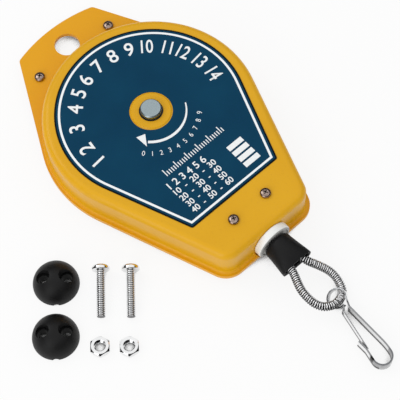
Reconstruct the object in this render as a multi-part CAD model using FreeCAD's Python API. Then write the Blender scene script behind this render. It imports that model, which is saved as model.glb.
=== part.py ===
"""Spring tool balancer, lying on its back, with its rope-stop kit laid out beside it.

A two-part pressed steel casing holds a rope drum that a spiral mainspring turns. The steel rope
leaves through a plastic guide in the end wall and ends in a rubber cap, a sheathed rope loop and
a snap hook. +X runs from the hanging hole to the rope exit and +Z is the face normal. The origin
is on the spindle's axis, in the plane of the back face.
"""
import FreeCAD, Part
import math
import os
from FreeCAD import Vector as V

# --- casing -----------------------------------------------------------------------------------
sheet = 1.2              # thickness of both pressed covers
case_height = 25.0       # back face to front face
wall_radius = 57.9       # round part of the casing, outside
end_wall_x = 90.9        # outside of the wall that the rope leaves through
side_turn = 69.7         # degrees at which the straight sides leave the round part
corner_radius = 9.0      # the two plan corners of the end wall
face_fillet = 4.0        # front cover, face to wall
flange_fillet = 1.5      # front cover, wall to flange
back_fillet = 1.5        # rear cover, back to wall
flange_top = 6.65        # front of the two clamped flanges
flange_width = 2.6
ear_reach = 28.1         # round end of the hanging ear, past the round wall
ear_half_angle = 17.8
ear_corner = 3.0
hang_hole_setback = 13.8 # hole centre to the ear's round end
hang_hole_radius = 7.05
ear_radius = wall_radius + ear_reach
hang_hole_x = hang_hole_setback - ear_radius
hang_hole_flat = 6.85    # hole centre to the flat on its inner side
hub_radius = 10.4        # raised ring round the knob
hub_height = 0.5

# --- label ------------------------------------------------------------------------------------
label_thickness = 0.25
label_radius = 51.0
label_turn = 68.8
label_end_x = 65.4
label_corner = 1.5
label_hole_radius = 11.5

# --- case fasteners, M3 -----------------------------------------------------------------------
screw_radius = 1.5
screw_clearance = 0.2
thread_gap = 0.03
screw_head_radius = 2.9
screw_head_height = 2.1
nut_flats = 5.5
nut_height = 2.4
ear_screw_reach = 8.0    # past the round wall, along the ear
ear_screw_y = 24.6
ear_screw_x = -(wall_radius + ear_screw_reach)
face_screw_x, face_screw_y = 76.0, 11.0
ear_screw_length = 5.3
face_screw_length = 8.0
post_radius = 2.5
post_thread_depth = 10.0
post_rivet_radius = 1.9
rivet_setback = 0.2      # rivet ends stay this far inside the outer faces

# --- spindle, knob and bearings ---------------------------------------------------------------
running_gap = 0.05
seat_gap = 0.3
spindle_radius = 4.0
spindle_key_radius = 3.4
spindle_key_flat = 2.5
key_gap = 0.04
knob_radius = 5.72
knob_proud = 3.4
knob_chamfer = 0.6
knob_roof = 1.4          # metal left over the spindle's end
front_bush_wall = 0.65
front_bush_flange = 9.0
front_bush_flange_height = 1.2
rear_bush_radius = 9.0
rear_bush_height = 1.4
collar_wall = 1.2        # pressed ring that locates the rear bush
collar_height = 1.0
washer_radius = 8.5
washer_height = 0.6
clip_radius = 6.6
clip_height = 0.65
clip_groove = 0.6
clip_opening = 40.0

# --- drum -------------------------------------------------------------------------------------
drum_gap = 0.1           # axial play each side of a washer
drum_web = 1.5
barrel_radius = 41.0     # the rope winds on this
barrel_wall = 2.2
drum_flange_radius = 50.5
drum_flange = 1.2
winding_width = 13.2
hub_wall = 2.6
drum_bush_wall = 1.5
drum_bush_length = 1.9   # kept under the mainspring
lid_height = 1.0
lid_radius = 46.5
lid_rivets = 4
lid_rivet_radius = 1.2
lid_rivet_head = 2.2
lid_rivet_head_height = 0.4
lid_rivet_circle = 43.8
anchor_radius = 2.2      # rope nipple pressed into the barrel
anchor_angle = 150.0

# --- mainspring -------------------------------------------------------------------------------
spring_thickness = 0.7
spring_half_turns = 14
spring_start_radius = 5.6
spring_side_gap = 0.6

# --- ratchet and its click spring -------------------------------------------------------------
ratchet_teeth = 24
ratchet_tip_radius = 14.0
ratchet_tooth_depth = 1.3
ratchet_height = 1.4
click_post_radius = 2.0
click_post_x, click_post_y = 25.0, 14.6
click_thickness = 0.5
click_gap = 0.12

# --- rope -------------------------------------------------------------------------------------
rope_radius = 1.0
turn_gap = 0.1
winding_gap = 0.3        # under the first turn
winding_room = 0.1       # over the last one
last_turn_lift = 0.3     # clear of the turn below, where the rope runs off
rope_pitch = 2 * rope_radius + turn_gap
wound_height = winding_width - winding_gap - winding_room - last_turn_lift - 2 * rope_radius
rope_turns = int(wound_height / rope_pitch + 1e-6)      # as many as fit side by side
last_turn_angle = 300.0
exit_height = case_height / 2
mouth_x = 86.0           # where the rope bends round the guide's inner mouth
mouth_bend = 9.0

# --- rope guide -------------------------------------------------------------------------------
guide_neck_radius = 9.1
guide_flange_radius = 11.3
guide_flange_width = 4.4
guide_edge = 1.6
guide_inner_radius = 10.2
guide_inner_width = 2.6
guide_bore_radius = 2.6
guide_mouth = 4.5        # radius of the trumpet that the rope runs over
guide_gap = 0.15

# --- rope end: cap, crimp, loop ---------------------------------------------------------------
cap_length = 16.0
cap_nose_radius = 7.3
cap_mouth_half_width = 9.65
cap_mouth_half_height = 3.5
cap_bore_gap = 0.3
crimp_start = 2.2        # from the cap's nose
crimp_length = 8.0
crimp_half_width = 4.6
crimp_half_height = 2.4
sheath_radius = 2.4
sheath_bore_radius = 1.5
core_radius = 1.2
sheath_inset = 5.8       # how far the sheath reaches into the cap
loop_route = [
    (101.5, -3.15, exit_height), (112.2, -3.95, exit_height - 0.05), (118.0, -6.5, exit_height - 0.2),
    (124.8, -8.9, exit_height - 0.6), (135.7, -8.0, 11.0), (140.0, -0.3, 9.3), (136.8, 8.5, 2.5),
    (132.3, 11.8, 2.5), (124.7, 12.6, 5.0), (117.2, 8.4, exit_height - 3.8),
    (111.8, 4.1, exit_height - 0.4), (101.5, 3.15, exit_height),
]

# --- snap hook: one bent strip, standing on its edge --------------------------------------------
hook_place = (137.0, 7.0)
hook_yaw = -12.7         # the hook's own u axis runs from its eye to its bend
hook_floor_gap = 0.05
strip_thickness = 0.9
strip_width = 6.0
bow_radius = 5.05        # middle of the strip round the hook's bend
bow_u, bow_v = 37.6, 0.4
tip_length = 6.5         # straight run behind the bend
lip_length = 5.5
lip_out = 1.2
neck_u, neck_v = 7.3, 0.05
bar_corner_u = 33.8      # where the sloping back bar turns into the bend
bar_bend = 34.0
eye_width = 2.8          # the strip narrows to this at its eye
eye_bore_radius = 4.55   # what the sheathed rope passes through
eye_radius = eye_bore_radius + strip_thickness / 2
eye_place = (0.8, -2.9, 5.65)
eye_tilt = 30.0          # the eye leans this far over, so that the rope can pass through it
eye_wrap_end = 378.0     # end of the eye's wrap, about its centre
gate_thickness = 0.5
gate_width = 5.0
gate_root_u = 6.8
gate_end_u = 31.2
gate_tab = 1.5
gate_gap = 0.2           # between the gate and the tip's inner face

# --- rope-stop kit ----------------------------------------------------------------------------
stop_radius = 12.1
stop_hole_spacing = 11.8
stop_hole_radius = 2.8
stop_recess_radius = 3.6
stop_recess_floor = 5.0
stop_groove_radius = 1.5
stop_places = [(32.3, -94.7), (54.9, -113.6)]
stop_turn = -39.0
stop_screw_radius = 2.45
stop_screw_length = 25.0
stop_head_radius = 4.7
stop_head_height = 3.1
stop_screw_places = [(43.7, -73.9), (54.0, -62.6)]
stop_nut_flats = 9.6
stop_nut_height = 4.0
stop_nut_places = [(74.5, -100.7), (84.4, -89.8)]
kit_turn = -40.2         # the kit is laid out square to this direction


def circle_points(radius, *angles):
    return [V(radius * math.cos(math.radians(a)), radius * math.sin(math.radians(a)), 0) for a in angles]


def cylinder(radius, low, high, x=0.0, y=0.0):
    return Part.makeCylinder(radius, high - low, V(x, y, low))


def tube(outer, inner, low, high, x=0.0, y=0.0):
    return cylinder(outer, low, high, x, y).cut(cylinder(inner, low, high, x, y))


def block(low, high):
    size = [b - a for a, b in zip(low, high)]
    return Part.makeBox(*size, V(*low))


def prism(wire, low, high):
    wire = wire.copy()
    wire.translate(V(0, 0, low))
    return Part.Face(wire).extrude(V(0, 0, high - low))


def polygon(points):
    return Part.makePolygon([V(*p) for p in points] + [V(*points[0])])


def revolved(points, axis=V(0, 0, 1), centre=V(0, 0, 0), angle=360.0):
    return Part.Face(polygon(points)).revolve(centre, axis, angle)


def fused(shapes):
    return shapes[0].multiFuse(shapes[1:]).removeSplitter()


def edges_at(shape, height, near=None):
    """Edges that lie flat at one height, and on the outline `near` where it is given."""
    found = []
    for edge in shape.Edges:
        box = edge.BoundBox
        if abs(box.ZMin - height) > 1e-4 or abs(box.ZMax - height) > 1e-4:
            continue
        if near is not None:
            middle = edge.valueAt((edge.FirstParameter + edge.LastParameter) / 2)
            if near.distToShape(Part.Vertex(middle.x, middle.y, 0))[0] > 0.02:
                continue
        found.append(edge)
    return found


def save(name, *shapes):
    shape = shapes[0] if len(shapes) == 1 else Part.makeCompound(list(shapes))
    shape.exportStep(f"parts/{name}.step")
    solids[name] = shape


# --- casing outlines --------------------------------------------------------------------------
def tapered_outline(radius, end_x, turn, corner):
    """Round about the spindle, with straight sides that close in to a flat end with round corners."""
    t = math.radians(turn)
    side_x, side_y = radius * math.cos(t), radius * math.sin(t)
    end_y = side_y - (end_x - side_x) / math.tan(t)
    cut = corner * math.tan(t / 2)
    leave = V(end_x - cut * math.sin(t), end_y + cut * math.cos(t), 0)
    join = V(end_x, end_y - cut, 0)
    middle = V(end_x - corner, join.y, 0) + corner * V(math.cos(t / 2), math.sin(t / 2), 0)
    mirror = [V(p.x, -p.y, 0) for p in (leave, join, middle)]
    top, bottom = V(side_x, side_y, 0), V(side_x, -side_y, 0)
    edges = [
        Part.Arc(top, V(-radius, 0, 0), bottom).toShape(),
        Part.LineSegment(bottom, mirror[0]).toShape(),
        Part.Arc(mirror[0], mirror[2], mirror[1]).toShape(),
        Part.LineSegment(mirror[1], join).toShape(),
        Part.Arc(join, middle, leave).toShape(),
        Part.LineSegment(leave, top).toShape(),
    ]
    return Part.Wire(edges)


def case_outline(grow=0.0):
    return tapered_outline(wall_radius + grow, end_wall_x + grow, side_turn, corner_radius + grow)


def ear(low, high):
    """The hanging ear: straight sides that run off the flange, and a round end."""
    flange_radius = wall_radius + flange_width
    reach = 180.0 - ear_half_angle
    touch = reach - math.degrees(math.acos(flange_radius / ear_radius))
    (corner,) = circle_points(ear_radius, reach)
    (start,) = circle_points(flange_radius, touch)
    below = [V(corner.x, -corner.y, 0), V(start.x, -start.y, 0)]
    outline = Part.Wire([
        Part.LineSegment(start, corner).toShape(),
        Part.Arc(corner, V(-ear_radius, 0, 0), below[0]).toShape(),
        Part.LineSegment(below[0], below[1]).toShape(),
        Part.LineSegment(below[1], start).toShape(),
    ])
    plate = prism(outline, low, high)
    corners = [e for e in plate.Edges if e.BoundBox.ZLength > (high - low) / 2
               and e.BoundBox.XMax < corner.x + 0.01]
    return plate.makeFillet(ear_corner, corners)


def flange(low, high):
    return fused([prism(case_outline(flange_width), low, high), ear(low, high)])


def cavity(shrink=0.0):
    """The space inside both covers, smaller all round by `shrink`."""
    room = prism(case_outline(-sheet - shrink), sheet + shrink, case_height - sheet - shrink)
    return room.makeFillet(face_fillet - sheet, edges_at(room, case_height - sheet - shrink))


def hang_hole():
    hole = cylinder(hang_hole_radius, 0, case_height, hang_hole_x)
    side = 2 * hang_hole_radius
    keep = block((hang_hole_x - side, -side, 0), (hang_hole_x + hang_hole_flat, side, case_height))
    return hole.common(keep)


def screw_holes(places, low, high, radius=screw_radius + screw_clearance):
    return [cylinder(radius, low, high, x, y) for x, y in places]


def along_exit(radius, start, end):
    return Part.makeCylinder(radius, end - start, V(start, 0, exit_height), V(1, 0, 0))


def guide_opening(slot_to=None):
    """The hole in the end wall for the guide's neck, and the notch in the flange for its flange."""
    neck = guide_neck_radius + guide_gap
    wall = along_exit(neck, end_wall_x - 3 * sheet, end_wall_x + flange_width + 1)
    notch = along_exit(guide_flange_radius + seat_gap, end_wall_x, end_wall_x + flange_width + 1)
    cuts = [wall, notch]
    if slot_to is not None:
        cuts.append(block((end_wall_x - 3 * sheet, -neck, slot_to),
                          (end_wall_x + flange_width + 1, neck, exit_height)))
    return cuts


ear_screws = [(ear_screw_x, ear_screw_y), (ear_screw_x, -ear_screw_y)]
face_screws = [(face_screw_x, face_screw_y), (face_screw_x, -face_screw_y)]
joint_height = flange_top - sheet          # where the two flanges meet
inside_top = case_height - sheet


def front_cover():
    pan = prism(case_outline(), joint_height, case_height)
    shell = fused([pan, flange(joint_height, flange_top)])
    shell = shell.makeFillet(face_fillet, edges_at(shell, case_height))
    shell = shell.makeFillet(flange_fillet, edges_at(shell, flange_top, near=case_outline()))
    hub = Part.makeCone(hub_radius + hub_height, hub_radius, hub_height, V(0, 0, case_height))
    shell = shell.fuse(hub)
    cuts = [cavity(), hang_hole(), cylinder(front_bush_radius + running_gap, 0, case_height + 2)]
    cuts += screw_holes(ear_screws, 0, case_height) + screw_holes(face_screws, 0, case_height + 1)
    cuts += guide_opening(slot_to=joint_height)
    cuts.append(cylinder(click_post_radius - 0.5, 0, case_height + 1, click_post_x, click_post_y))
    return shell.cut(Part.makeCompound(cuts))


def rear_cover():
    pan = prism(case_outline(), 0, joint_height)
    shell = fused([pan, flange(joint_height - sheet, joint_height)])
    shell = shell.makeFillet(back_fillet, edges_at(shell, 0))
    shell = shell.cut(cavity())
    collar = tube(rear_bush_radius + running_gap + collar_wall, rear_bush_radius + running_gap,
                  sheet, sheet + collar_height)
    cuts = [hang_hole()]
    cuts += screw_holes(ear_screws, 0, case_height)
    cuts += screw_holes(face_screws, -1, sheet + 1, post_rivet_radius + running_gap)
    cuts += guide_opening()
    return shell.fuse(collar).cut(Part.makeCompound(cuts))


def front_label():
    outline = tapered_outline(label_radius, label_end_x, label_turn, label_corner)
    plate = prism(outline, case_height, case_height + label_thickness)
    return plate.cut(cylinder(label_hole_radius, case_height, case_height + label_thickness))


# --- fasteners --------------------------------------------------------------------------------
def pan_screw(radius, length, head_radius, head_height):
    """Upright pan-head screw with its head's underside at the origin."""
    shank = cylinder(radius, -length, 0)
    head = cylinder(head_radius, 0, head_height)
    head = head.makeFillet(head_height * 0.62, edges_at(head, head_height))
    return shank.fuse(head).removeSplitter()


def hex_nut(flats, height, bore):
    """Upright chamfered nut standing on the origin's plane, with a corner on +X."""
    corners = circle_points(flats / math.sqrt(3), *range(0, 360, 60))
    nut = prism(Part.makePolygon(corners + corners[:1]), 0, height)
    rim = flats / math.sqrt(3)
    half = revolved([(0, 0, 0), (flats / 2, 0, 0), (rim, 0, (rim - flats / 2) * 0.6),
                     (rim, 0, height - (rim - flats / 2) * 0.6), (flats / 2, 0, height), (0, 0, height)])
    nut = nut.common(half).cut(cylinder(bore, 0, height))
    countersink = bore * 0.18
    for low, r1, r2 in ((0, bore + countersink, bore), (height - countersink, bore, bore + countersink)):
        nut = nut.cut(Part.makeCone(r1, r2, countersink, V(0, 0, low)))
    return nut


def placed(shape, x, y, z, turn=0.0):
    shape = shape.copy()
    shape.rotate(V(0, 0, 0), V(0, 0, 1), turn)
    shape.translate(V(x, y, z))
    return shape


def case_screw_set():
    short = pan_screw(screw_radius, ear_screw_length, screw_head_radius, screw_head_height)
    long = pan_screw(screw_radius, face_screw_length, screw_head_radius, screw_head_height)
    return ([placed(short, x, y, flange_top) for x, y in ear_screws]
            + [placed(long, x, y, case_height) for x, y in face_screws])


def ear_nut_set():
    nut = hex_nut(nut_flats, nut_height, screw_radius + thread_gap)
    return [placed(nut, x, y, joint_height - sheet - nut_height) for x, y in ear_screws]


def case_post(x, y):
    post = cylinder(post_radius, sheet, inside_top, x, y)
    rivet = cylinder(post_rivet_radius, rivet_setback, sheet, x, y)
    thread = cylinder(screw_radius + thread_gap, inside_top - post_thread_depth, inside_top, x, y)
    return post.fuse(rivet).cut(thread)


# --- spindle stack, from the back up ----------------------------------------------------------
rear_bush_top = sheet + rear_bush_height
washer_low = rear_bush_top + drum_gap
drum_low = washer_low + washer_height + drum_gap
drum_flange_top = drum_low + drum_flange
winding_top = drum_flange_top + winding_width
drum_top = winding_top + drum_flange
lid_top = drum_top + lid_height
front_bush_radius = knob_radius + running_gap + front_bush_wall
front_bush_low = inside_top - front_bush_flange_height
knob_low = front_bush_low - 0.2
ratchet_low = knob_low - 0.1 - ratchet_height
key_low = ratchet_low
knob_top = case_height + knob_proud
spindle_top = knob_top - knob_roof


def keyed(radius, low, high, grow=0.0):
    round_bar = cylinder(radius + grow, low, high)
    side = 3 * radius
    return round_bar.common(block((-side, -side, low), (spindle_key_flat + grow, side, high)))


def spindle():
    bar = cylinder(spindle_radius, sheet + seat_gap, key_low)
    bar = bar.fuse(keyed(spindle_key_radius, key_low, spindle_top))
    slot_low, slot_high = drum_low + drum_web, drum_top
    slot = block((0, -spring_slot / 2, slot_low), (2 * spindle_radius, spring_slot / 2, slot_high))
    groove = tube(2 * spindle_radius, spindle_radius - clip_groove, clip_low - 0.05,
                  clip_low + clip_height + 0.05)
    return bar.cut(slot).cut(groove)


def tension_knob():
    knob = cylinder(knob_radius, knob_low, knob_top)
    knob = knob.makeChamfer(knob_chamfer, edges_at(knob, knob_top))
    return knob.cut(keyed(spindle_key_radius, knob_low, spindle_top + 0.05, key_gap))


def front_bush():
    ring = tube(front_bush_radius, knob_radius + running_gap, front_bush_low, case_height)
    foot = tube(front_bush_flange, knob_radius + running_gap, front_bush_low, inside_top)
    return ring.fuse(foot).removeSplitter()


spring_slot = spring_thickness + 0.4
clip_low = lid_top + drum_gap


def spindle_clip():
    """Open retaining ring that keeps the drum on the spindle."""
    inner = spindle_radius - clip_groove + 0.05
    ring = tube(clip_radius, inner, clip_low, clip_low + clip_height)
    a, b = circle_points(3 * clip_radius, 90 - clip_opening / 2, 90 + clip_opening / 2)
    wedge = prism(polygon([(0, 0, 0), tuple(a), tuple(b)]), clip_low, clip_low + clip_height)
    return ring.cut(wedge)


# --- drum -------------------------------------------------------------------------------------
hub_outer = spindle_radius + running_gap + drum_bush_wall + hub_wall
barrel_inner = barrel_radius - barrel_wall


def rope_drum():
    """Flanged cup: the rope winds outside, and the mainspring lies inside."""
    bore = spindle_radius + running_gap + drum_bush_wall
    profile = [
        (bore, drum_low), (drum_flange_radius, drum_low), (drum_flange_radius, drum_flange_top),
        (barrel_radius, drum_flange_top), (barrel_radius, winding_top),
        (drum_flange_radius, winding_top), (drum_flange_radius, drum_top),
        (barrel_inner, drum_top), (barrel_inner, drum_low + drum_web),
        (hub_outer, drum_low + drum_web), (hub_outer, drum_low + drum_bush_length),
        (bore, drum_low + drum_bush_length),
    ]
    cup = revolved([(r, 0, z) for r, z in profile])
    cuts = [cylinder(lid_rivet_radius + running_gap, winding_top, drum_top, x, y)
            for x, y in lid_rivet_places]
    return cup.cut(Part.makeCompound(cuts + [anchor_pocket(running_gap)]))


def anchor_pocket(grow=0.0):
    """The rope's nipple lies across the barrel wall, under the first turn."""
    (spot,) = circle_points(barrel_inner + 0.1, anchor_angle)
    spot.z = drum_flange_top + anchor_radius + 0.4
    outward = V(spot.x, spot.y, 0).normalize()
    return Part.makeCylinder(anchor_radius + grow, barrel_wall - 0.4, spot, outward)


lid_rivet_places = [(p.x, p.y) for p in
                    circle_points(lid_rivet_circle, *(45 + i * 360 / lid_rivets for i in range(lid_rivets)))]


def drum_lid():
    lid = tube(lid_radius, spindle_radius + running_gap, drum_top, lid_top)
    holes = screw_holes(lid_rivet_places, drum_top, lid_top, lid_rivet_radius + running_gap)
    return lid.cut(Part.makeCompound(holes))


def lid_rivet(x, y):
    shank = cylinder(lid_rivet_radius, winding_top + 0.1, lid_top, x, y)
    return shank.fuse(cylinder(lid_rivet_head, lid_top, lid_top + lid_rivet_head_height, x, y))


def mainspring():
    """Flat spiral of half circles about two centres, hooked into the spindle's slot."""
    outer_radius = barrel_inner - spring_thickness / 2 - 0.1
    step = (outer_radius - spring_start_radius) / spring_half_turns

    def side(offset):
        edges, points = [], []
        start = V(spring_start_radius + offset, 0, 0)
        for i in range(spring_half_turns):
            radius = spring_start_radius + offset + i * step
            sign = 1 if i % 2 == 0 else -1
            centre = V(0, 0, 0) if i % 2 == 0 else V(step, 0, 0)
            end = centre - sign * V(radius, 0, 0)
            edges.append(Part.Arc(start, centre + V(0, sign * radius, 0), end).toShape())
            points.append((start, end))
            start = end
        return edges, points[0][0], points[-1][1]

    out, out_start, out_end = side(spring_thickness / 2)
    inn, inn_start, inn_end = side(-spring_thickness / 2)
    low = drum_low + drum_web + spring_side_gap
    high = drum_top - spring_side_gap
    tail = spindle_radius - 2.2
    ends = [Part.LineSegment(out_start, inn_start).toShape(), Part.LineSegment(out_end, inn_end).toShape()]
    strip = prism(Part.Wire(Part.sortEdges(out + inn + ends)[0]), low, high)
    hooked = block((tail, -spring_thickness / 2, low),
                   (spring_start_radius + spring_thickness / 2, spring_thickness / 2, high))
    return strip.fuse(hooked)


# --- ratchet ----------------------------------------------------------------------------------
def ratchet_wheel():
    points = []
    for i in range(ratchet_teeth):
        angle = 360 / ratchet_teeth * i
        points += circle_points(ratchet_tip_radius, angle)
        points += circle_points(ratchet_tip_radius - ratchet_tooth_depth, angle + 2)
    wheel = prism(Part.makePolygon(points + points[:1]), ratchet_low, ratchet_low + ratchet_height)
    return wheel.cut(keyed(spindle_key_radius, ratchet_low, ratchet_low + ratchet_height, key_gap))


def click_path():
    """From the post to the root of the tooth that it holds."""
    tooth = 360 / ratchet_teeth
    root = ratchet_tip_radius - ratchet_tooth_depth + click_gap
    (touch,) = circle_points(root + click_thickness / 2, 2 * tooth + 4)
    return V(click_post_x, click_post_y, 0), touch


def click_spring():
    """Leaf that clicks over the ratchet's teeth one way and holds it the other way."""
    post, touch = click_path()
    run = touch - post
    length = run.Length + click_post_radius
    leaf = block((-click_post_radius, -click_thickness / 2, ratchet_low + 0.1),
                 (length - click_post_radius, click_thickness / 2, ratchet_low + ratchet_height - 0.1))
    return placed(leaf, post.x, post.y, 0, math.degrees(math.atan2(run.y, run.x)))


def click_post():
    post, touch = click_path()
    run = touch - post
    pin = cylinder(click_post_radius, ratchet_low - 0.3, inside_top)
    rivet = cylinder(click_post_radius - 0.5 - running_gap, inside_top, case_height - rivet_setback)
    slot = block((-2 * click_post_radius, -click_thickness / 2 - 0.02, ratchet_low - 0.3),
                 (2 * click_post_radius, click_thickness / 2 + 0.02, ratchet_low + ratchet_height + 0.05))
    slot = placed(slot, 0, 0, 0, math.degrees(math.atan2(run.y, run.x)))
    return placed(pin.fuse(rivet).cut(slot), post.x, post.y, 0)


# --- rope -------------------------------------------------------------------------------------
winding_radius = barrel_radius + rope_radius
leave_angle = -math.degrees(math.acos(winding_radius / mouth_x))


def rope_wound():
    """The turns side by side on the barrel; the last one ends where the rope runs off."""
    inner = barrel_radius + running_gap
    low = drum_flange_top + winding_gap

    def turn(bottom):
        r = rope_radius
        return [(inner + r, bottom + 2 * r), (inner + 2 * r, bottom + 1.4 * r), (inner + 2 * r, bottom + 0.6 * r),
                (inner + r, bottom)]

    profile = [(inner, low)]
    for i in range(rope_turns):
        profile += reversed(turn(low + i * rope_pitch))
    profile.append((inner, low + (rope_turns - 1) * rope_pitch + 2 * rope_radius))
    full = revolved([(r, 0, z) for r, z in profile])
    last = low + rope_turns * rope_pitch + last_turn_lift
    ring = [(inner, last + 0.4), (inner, last + 1.6 * rope_radius)] + turn(last)
    partial = revolved([(r, 0, z) for r, z in ring], angle=-last_turn_angle)
    partial.rotate(V(0, 0, 0), V(0, 0, 1), leave_angle)
    return full, partial


last_turn_height = drum_flange_top + winding_gap + rope_turns * rope_pitch + last_turn_lift + rope_radius


def arc_path(points, radii):
    """Straight runs joined by tangent arcs, one radius for each inner point."""
    edges, start = [], points[0]
    for before, corner, after, radius in zip(points, points[1:], points[2:], radii):
        back, ahead = (before - corner).normalize(), (after - corner).normalize()
        half = (math.pi - back.getAngle(ahead)) / 2
        cut = radius * math.tan(half)
        enter, leave = corner + cut * back, corner + cut * ahead
        middle = corner + (back + ahead).normalize() * (radius / math.cos(half) - radius)
        edges.append(Part.LineSegment(start, enter).toShape())
        edges.append(Part.Arc(enter, middle, leave).toShape())
        start = leave
    edges.append(Part.LineSegment(start, points[-1]).toShape())
    return Part.Wire(edges)


def widest_radii(points):
    """Each arc as large as its two runs allow."""
    radii = []
    for before, corner, after in zip(points, points[1:], points[2:]):
        short = min((before - corner).Length, (after - corner).Length)
        half = (math.pi - (before - corner).getAngle(after - corner)) / 2
        radii.append(0.45 * short / math.tan(half))
    return radii


def round_pipe(path, radius):
    start = path.Edges[0]
    normal = start.tangentAt(start.FirstParameter)
    section = Part.Wire(Part.makeCircle(radius, start.valueAt(start.FirstParameter), normal))
    return path.makePipeShell([section], True, False)


def rope_run():
    """Straight off the drum to the guide's mouth, over its bend and into the crimp."""
    (leave,) = circle_points(winding_radius, leave_angle)
    leave.z = last_turn_height
    mouth = V(mouth_x, 0, exit_height)
    start = leave + (mouth - leave).normalize() * 0.5
    end = V(cap_start + crimp_start + crimp_length * 0.4, 0, exit_height)
    return round_pipe(arc_path([start, mouth, end], [mouth_bend]), rope_radius)


# --- rope guide -------------------------------------------------------------------------------
guide_face_x = end_wall_x + running_gap + guide_flange_width
cap_start = guide_face_x + seat_gap


def guide_outline():
    """Half section: inner mouth, inner flange, neck, outer flange and its round edge."""
    inner_end = end_wall_x - sheet - running_gap
    inner_start = inner_end - guide_inner_width
    back = end_wall_x + running_gap
    n, f, e, m = guide_neck_radius, guide_flange_radius, guide_edge, guide_mouth
    b = guide_bore_radius
    diagonal = 1 - math.sqrt(0.5)

    def p(x, r):
        return V(x, r, 0)

    def line(a, c):
        return Part.LineSegment(p(*a), p(*c)).toShape()

    def arc(a, via, c):
        return Part.Arc(p(*a), p(*via), p(*c)).toShape()

    return Part.Wire([
        arc((inner_start, b + m), (inner_start + m * diagonal, b + m * diagonal), (inner_start + m, b)),
        line((inner_start + m, b), (guide_face_x - 1, b)),
        line((guide_face_x - 1, b), (guide_face_x, b + 1)),
        line((guide_face_x, b + 1), (guide_face_x, f - e)),
        arc((guide_face_x, f - e), (guide_face_x - e * diagonal, f - e * diagonal), (guide_face_x - e, f)),
        line((guide_face_x - e, f), (back + 0.6, f)),
        line((back + 0.6, f), (back, f - 0.6)),
        line((back, f - 0.6), (back, n)),
        line((back, n), (inner_end, n)),
        line((inner_end, n), (inner_end, guide_inner_radius)),
        line((inner_end, guide_inner_radius), (inner_start, guide_inner_radius)),
        line((inner_start, guide_inner_radius), (inner_start, b + m)),
    ])


def rope_guide():
    turned = Part.Face(guide_outline()).revolve(V(0, 0, 0), V(1, 0, 0), 360)
    turned.translate(V(0, 0, exit_height))
    split = end_wall_x - sheet - running_gap
    far = 2 * end_wall_x
    inner = turned.common(block((0, -far, -far), (split, far, far))).common(cavity(guide_gap))
    outer = turned.common(block((split, -far, -far), (far, far, far)))
    return inner.fuse(outer).removeSplitter()


# --- rope end ---------------------------------------------------------------------------------
def oval(x, half_width, half_height, squareness):
    """Closed smooth section across the rope's axis: 2 is an ellipse, more is squarer."""
    points = []
    for i in range(16):
        a = math.radians(22.5 * i + 11.25)
        c, s = math.cos(a), math.sin(a)
        y = half_width * math.copysign(abs(c) ** (2 / squareness), c)
        z = half_height * math.copysign(abs(s) ** (2 / squareness), s)
        points.append(V(x, y, exit_height + z))
    curve = Part.BSplineCurve()
    curve.interpolate(points, PeriodicFlag=True)
    return Part.Wire(curve.toShape())


def rope_end_cap():
    """Round nose that flattens and widens to the mouth where the loop's two legs come out."""
    n, w, h = cap_nose_radius, cap_mouth_half_width, cap_mouth_half_height
    sections = [(0.0, n * 0.86, n * 0.86, 2), (0.07, n * 0.96, n * 0.96, 2), (0.2, n, n, 2),
                (0.5, n + 0.45 * (w - n), n - 0.32 * (n - h), 2.2), (0.8, n + 0.85 * (w - n), n - 0.78 * (n - h), 2.6),
                (1.0, w, h, 3.2)]
    skin = Part.makeLoft([oval(cap_start + f * cap_length, a, b, q) for f, a, b, q in sections], True)
    crimp_room = crimp_block(cap_bore_gap / 2)
    throat = along_exit(rope_radius + cap_bore_gap, cap_start - 1, cap_start + crimp_start + 1)
    legs = loop_leg_bores()
    return skin.cut(Part.makeCompound([crimp_room, throat])).cut(legs)


def loop_leg_bores():
    """Room in the cap's mouth for the sheathed legs of the loop."""
    start = cap_start + cap_length - sheath_inset - 0.2
    reach = block((start, -cap_mouth_half_width, 0), (cap_start + 2 * cap_length, cap_mouth_half_width, case_height))
    return round_pipe(loop_path(), sheath_radius + cap_bore_gap).common(reach)


def crimp_block(grow=0.0):
    start = cap_start + crimp_start - grow
    half_w, half_h = crimp_half_width + grow, crimp_half_height + grow
    bar = block((start, -half_w, exit_height - half_h),
                (start + crimp_length + 2 * grow, half_w, exit_height + half_h))
    long_edges = [e for e in bar.Edges if e.BoundBox.XLength > crimp_length / 2]
    return bar.makeFillet(half_h * 0.8, long_edges)


def crimp_sleeve():
    start = cap_start + crimp_start
    middle = start + crimp_length * 0.5
    sleeve = crimp_block()
    sleeve = sleeve.cut(along_exit(rope_radius + running_gap, start - 1, middle))
    legs = []
    for inside, outside in ((loop_route[0], loop_route[1]), (loop_route[-1], loop_route[-2])):
        a, b = V(*inside), V(*outside)
        along = (b - a).normalize()
        legs.append(Part.makeCylinder(core_radius + running_gap, 12, a - along * 0.5, along))
    return sleeve.cut(Part.makeCompound(legs))


def loop_path():
    points = [V(*p) for p in loop_route]
    return arc_path(points, widest_radii(points))


def rope_loop():
    return round_pipe(loop_path(), core_radius)


def loop_sheath():
    path = loop_path()
    sheath = round_pipe(path, sheath_radius).cut(round_pipe(path, sheath_bore_radius))
    start = cap_start + cap_length - sheath_inset
    return sheath.cut(block((0, -50, -50), (start, 50, 50)))


# --- snap hook --------------------------------------------------------------------------------
hook_middle = hook_floor_gap + strip_width / 2
tip_v = bow_v - bow_radius
gate_v = tip_v + strip_thickness / 2 + gate_gap + gate_thickness / 2


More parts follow.
